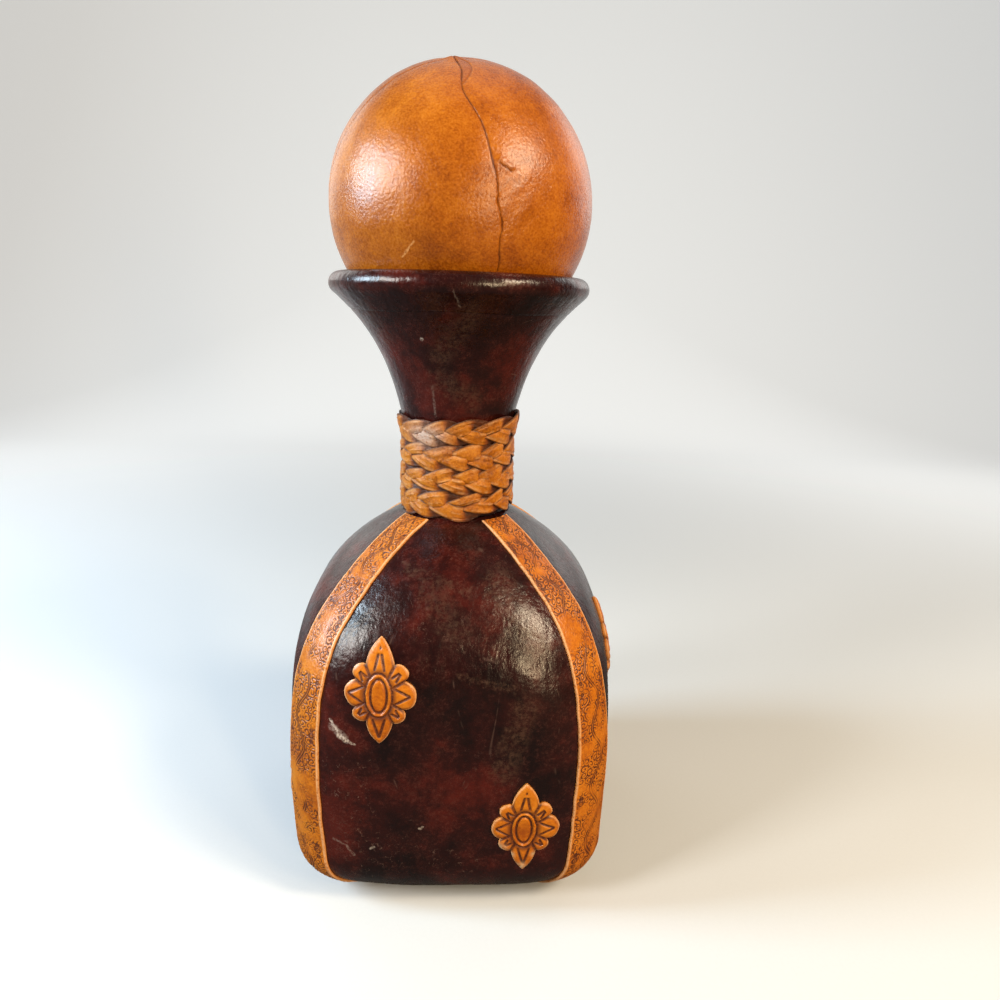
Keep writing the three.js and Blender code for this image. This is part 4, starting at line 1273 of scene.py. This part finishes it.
def build():
    """Makes every piece, in the place of its CAD node."""
    dark, tan, lace, saddle = dark_leather(), tan_leather(), lace_leather(), ball_leather()
    wood = turned_wood()
    for face, side in enumerate(FACES):
        dress(f"{side}_panel_leather", panel(face), dark, "bottle", f"{side}_panel")
        for level, place in (("upper", UPPER_ROSETTE), ("lower", LOWER_ROSETTE)):
            node = f"{side}_{level}_rosette"
            across = place[0] + ROSETTE_SHIFT.get(node, 0)
            chips = CHIPS if node == CHIPPED else ()
            shape = rosette(face, (across, place[1]), 100 + 10 * face + place[1], chips)
            dress(f"{node}_embossed", shape, tan, "bottle", node)
    for corner, place in enumerate(CORNERS):
        node = f"corner_strip_{place}"
        dress(f"{node}_tooled", corner_strip(corner), tan, "bottle", node)
    dress("neck_wrap_leather", neck_wrap(), dark, "bottle", "neck_wrap")
    dress("rim_binding_leather", rim_binding(), dark, "bottle", "rim_binding")
    for number in range(LACES):
        node = f"collar_lace_{number + 1}"
        dress(f"{node}_plaited", collar_lace(number), lace, "bottle", node)
    dress("bottle_glass", glass_bottle(), bottle_glass(), "bottle", "glass_bottle")
    dress("base_pad_suede", base_pad(), suede(), "bottle", "base_pad")
    for number in range(GORES):
        node = f"ball_gore_{number + 1}"
        dress(f"{node}_leather", gore(number), saddle, "stopper", node)
    dress("ball_core_wood", ball_core(), wood, "stopper", "ball_core")
    dress("stopper_stem_wood", stopper_stem(), wood, "stopper", "stopper_stem")
    dress("cork_turned", cork(), natural_cork(), "stopper", "cork")


# Studio

CAMERA_PLACE = (5.445, -239.94, 190.3)  # millimetres
CAMERA_HEADING = math.radians(2.26)  # from +Y towards +X
CAMERA_PITCH = math.radians(15.28)  # downwards
CAMERA_ROLL = math.radians(1.88)
CAMERA_LENS = 25.92
SENSOR_WIDTH = 36


def photo_camera():
    """The camera at the photograph's place: heading, pitch and roll give its right, up and back."""
    forward = Vector((math.sin(CAMERA_HEADING) * math.cos(CAMERA_PITCH),
                      math.cos(CAMERA_HEADING) * math.cos(CAMERA_PITCH), -math.sin(CAMERA_PITCH)))
    level = Vector((math.cos(CAMERA_HEADING), -math.sin(CAMERA_HEADING), 0))
    upright = level.cross(forward)
    right = level * math.cos(CAMERA_ROLL) + upright * math.sin(CAMERA_ROLL)
    up = upright * math.cos(CAMERA_ROLL) - level * math.sin(CAMERA_ROLL)
    data = bpy.data.cameras.new("camera")
    data.lens = CAMERA_LENS
    data.sensor_width = SENSOR_WIDTH
    data.clip_start = 0.01
    camera = bpy.data.objects.new("camera", data)
    turn = Matrix((right, up, -forward)).transposed().to_4x4()
    camera.matrix_world = Matrix.Translation(Vector(CAMERA_PLACE) * MM) @ turn
    bpy.context.scene.collection.objects.link(camera)
    bpy.context.scene.camera = camera


def lamp(name, place, aim, size, power, colour):
    """A soft rectangular lamp at a place, turned towards a point."""
    data = bpy.data.lights.new(name, "AREA")
    data.shape = "RECTANGLE"
    data.size, data.size_y = size
    data.energy = power
    data.color = colour
    light = bpy.data.objects.new(name, data)
    light.location = place
    light.rotation_mode = "QUATERNION"
    light.rotation_quaternion = (Vector(aim) - Vector(place)).to_track_quat("-Z", "Y")
    bpy.context.scene.collection.objects.link(light)


# Lamps, in metres: place, the point each is turned to, width and height, power in watts and colour
MIDDLE, LOW_MIDDLE, FOOT = (0, 0, 0.14), (0, 0, 0.12), (0, 0, 0.1)
LAMPS = {
    "window_lamp": ((-0.65, -0.07, 0.40), MIDDLE, (0.16, 0.3), 6.5, (0.66, 0.85, 1.0)),
    "pane_lamp": ((-0.56, -0.34, 0.42), MIDDLE, (0.16, 0.26), 3.8, (1.0, 0.96, 0.9)),
    "warm_lamp": ((0.48, -0.33, 0.6), MIDDLE, (0.16, 0.2), 4.6, (1.0, 0.81, 0.57)),
    "middle_lamp": ((0.45, -0.5, 0.46), MIDDLE, (0.08, 0.2), 1.6, (1.0, 0.76, 0.46)),
    "low_lamp": ((0.36, -0.72, 0.26), LOW_MIDDLE, (0.07, 0.26), 3.0, (1.0, 0.76, 0.46)),
    "overhead_lamp": ((0, 0.2, 0.95), FOOT, (0.6, 0.6), 0.6, (1.0, 0.99, 0.97)),
    "back_left_lamp": ((-0.6, 0.6, 0.5), FOOT, (0.5, 0.5), 1.1, (1.0, 0.98, 0.95)),
    "back_right_lamp": ((0.6, 0.6, 0.5), FOOT, (0.5, 0.5), 1.1, (1.0, 0.98, 0.95)),
}

# The room's brightness as light and as it is shown, and the paper: its colour and glow as they are shown, and
# the darker one that lights the leather from below and that it mirrors
ROOM_LIGHT = 0.09
ROOM_SHOWN = 0.8
PAPER = (0.62, 0.645, 0.67)
PAPER_GLOW = (0.47, 0.47, 0.46)
PAPER_DIM = (0.1, 0.098, 0.095)
GLOW_START = (0.22, 0.9)  # metres from the decanter, none to full
MIRROR_START = (0.1, 0.5)  # metres behind it, where the paper begins to be mirrored as it is shown


def studio():
    """A cool window lamp with a dim pane beside it, warm lamps on the right, lower towards the front, a wide
    one overhead and two dim ones behind, over a pale sweep of paper."""
    for name, settings in LAMPS.items():
        lamp(name, *settings)
    world = bpy.data.worlds.new("studio")
    world.use_nodes = True
    room = Nodes(world.node_tree)
    shown = room.node("ShaderNodeLightPath", out="Is Camera Ray")
    strength = ROOM_LIGHT + (ROOM_SHOWN - ROOM_LIGHT) * shown
    walls = room.node("ShaderNodeBackground", {}, {"Color": (0.98, 0.99, 1.0, 1), "Strength": strength})
    room.node("ShaderNodeOutputWorld", {}, {"Surface": walls})
    bpy.context.scene.world = world
    sweep()


def sweep():
    """Floor paper that curves up into a wall behind: flat, a quarter round, then upright, in metres."""
    reach, bend, back, wall = 2.5, 0.5, 0.7, 1.6
    arc = np.linspace(0, RIGHT_ANGLE, 24)
    y = np.concatenate([[-reach], back + bend * np.sin(arc), [back + bend]])
    z = np.concatenate([[0], bend * (1 - np.cos(arc)), [wall]])
    rows, x = grid(np.arange(len(y)), np.array([-reach, reach]))
    points = np.stack([x, y[rows], z[rows]], -1).reshape(-1, 3)
    mesh = bpy.data.meshes.new("sweep")
    mesh.from_pydata(points.tolist(), [], quads(len(y), 2).tolist())
    mesh.shade_smooth()
    f = Finish("paper")
    behind = f.node("ShaderNodeSeparateXYZ", {}, {"Vector": f.place}, out="Y").between(*MIRROR_START)
    distance = f.node("ShaderNodeVectorMath", {"operation": "LENGTH"}, {0: f.place}, out="Value")
    mirrored = f.node("ShaderNodeLightPath", out="Is Glossy Ray") * behind
    shown = f.node("ShaderNodeLightPath", out="Is Camera Ray") + mirrored
    colour = f.blend((*PAPER, 1), tuple(0.96 * c for c in PAPER), f.noise(1.2, 3))
    colour = f.blend((*PAPER_DIM, 1), colour, shown)
    glow = f.blend((0, 0, 0, 1), PAPER_GLOW, distance.between(*GLOW_START) * shown)
    mesh.materials.append(f.done(colour, 0.9, 0.1, Emission_Color=glow, Emission_Strength=1.0))
    paper = bpy.data.objects.new("sweep", mesh)
    bpy.context.scene.collection.objects.link(paper)


bpy.context.scene.view_settings.view_transform = "Standard"
photo_camera()
studio()
build()
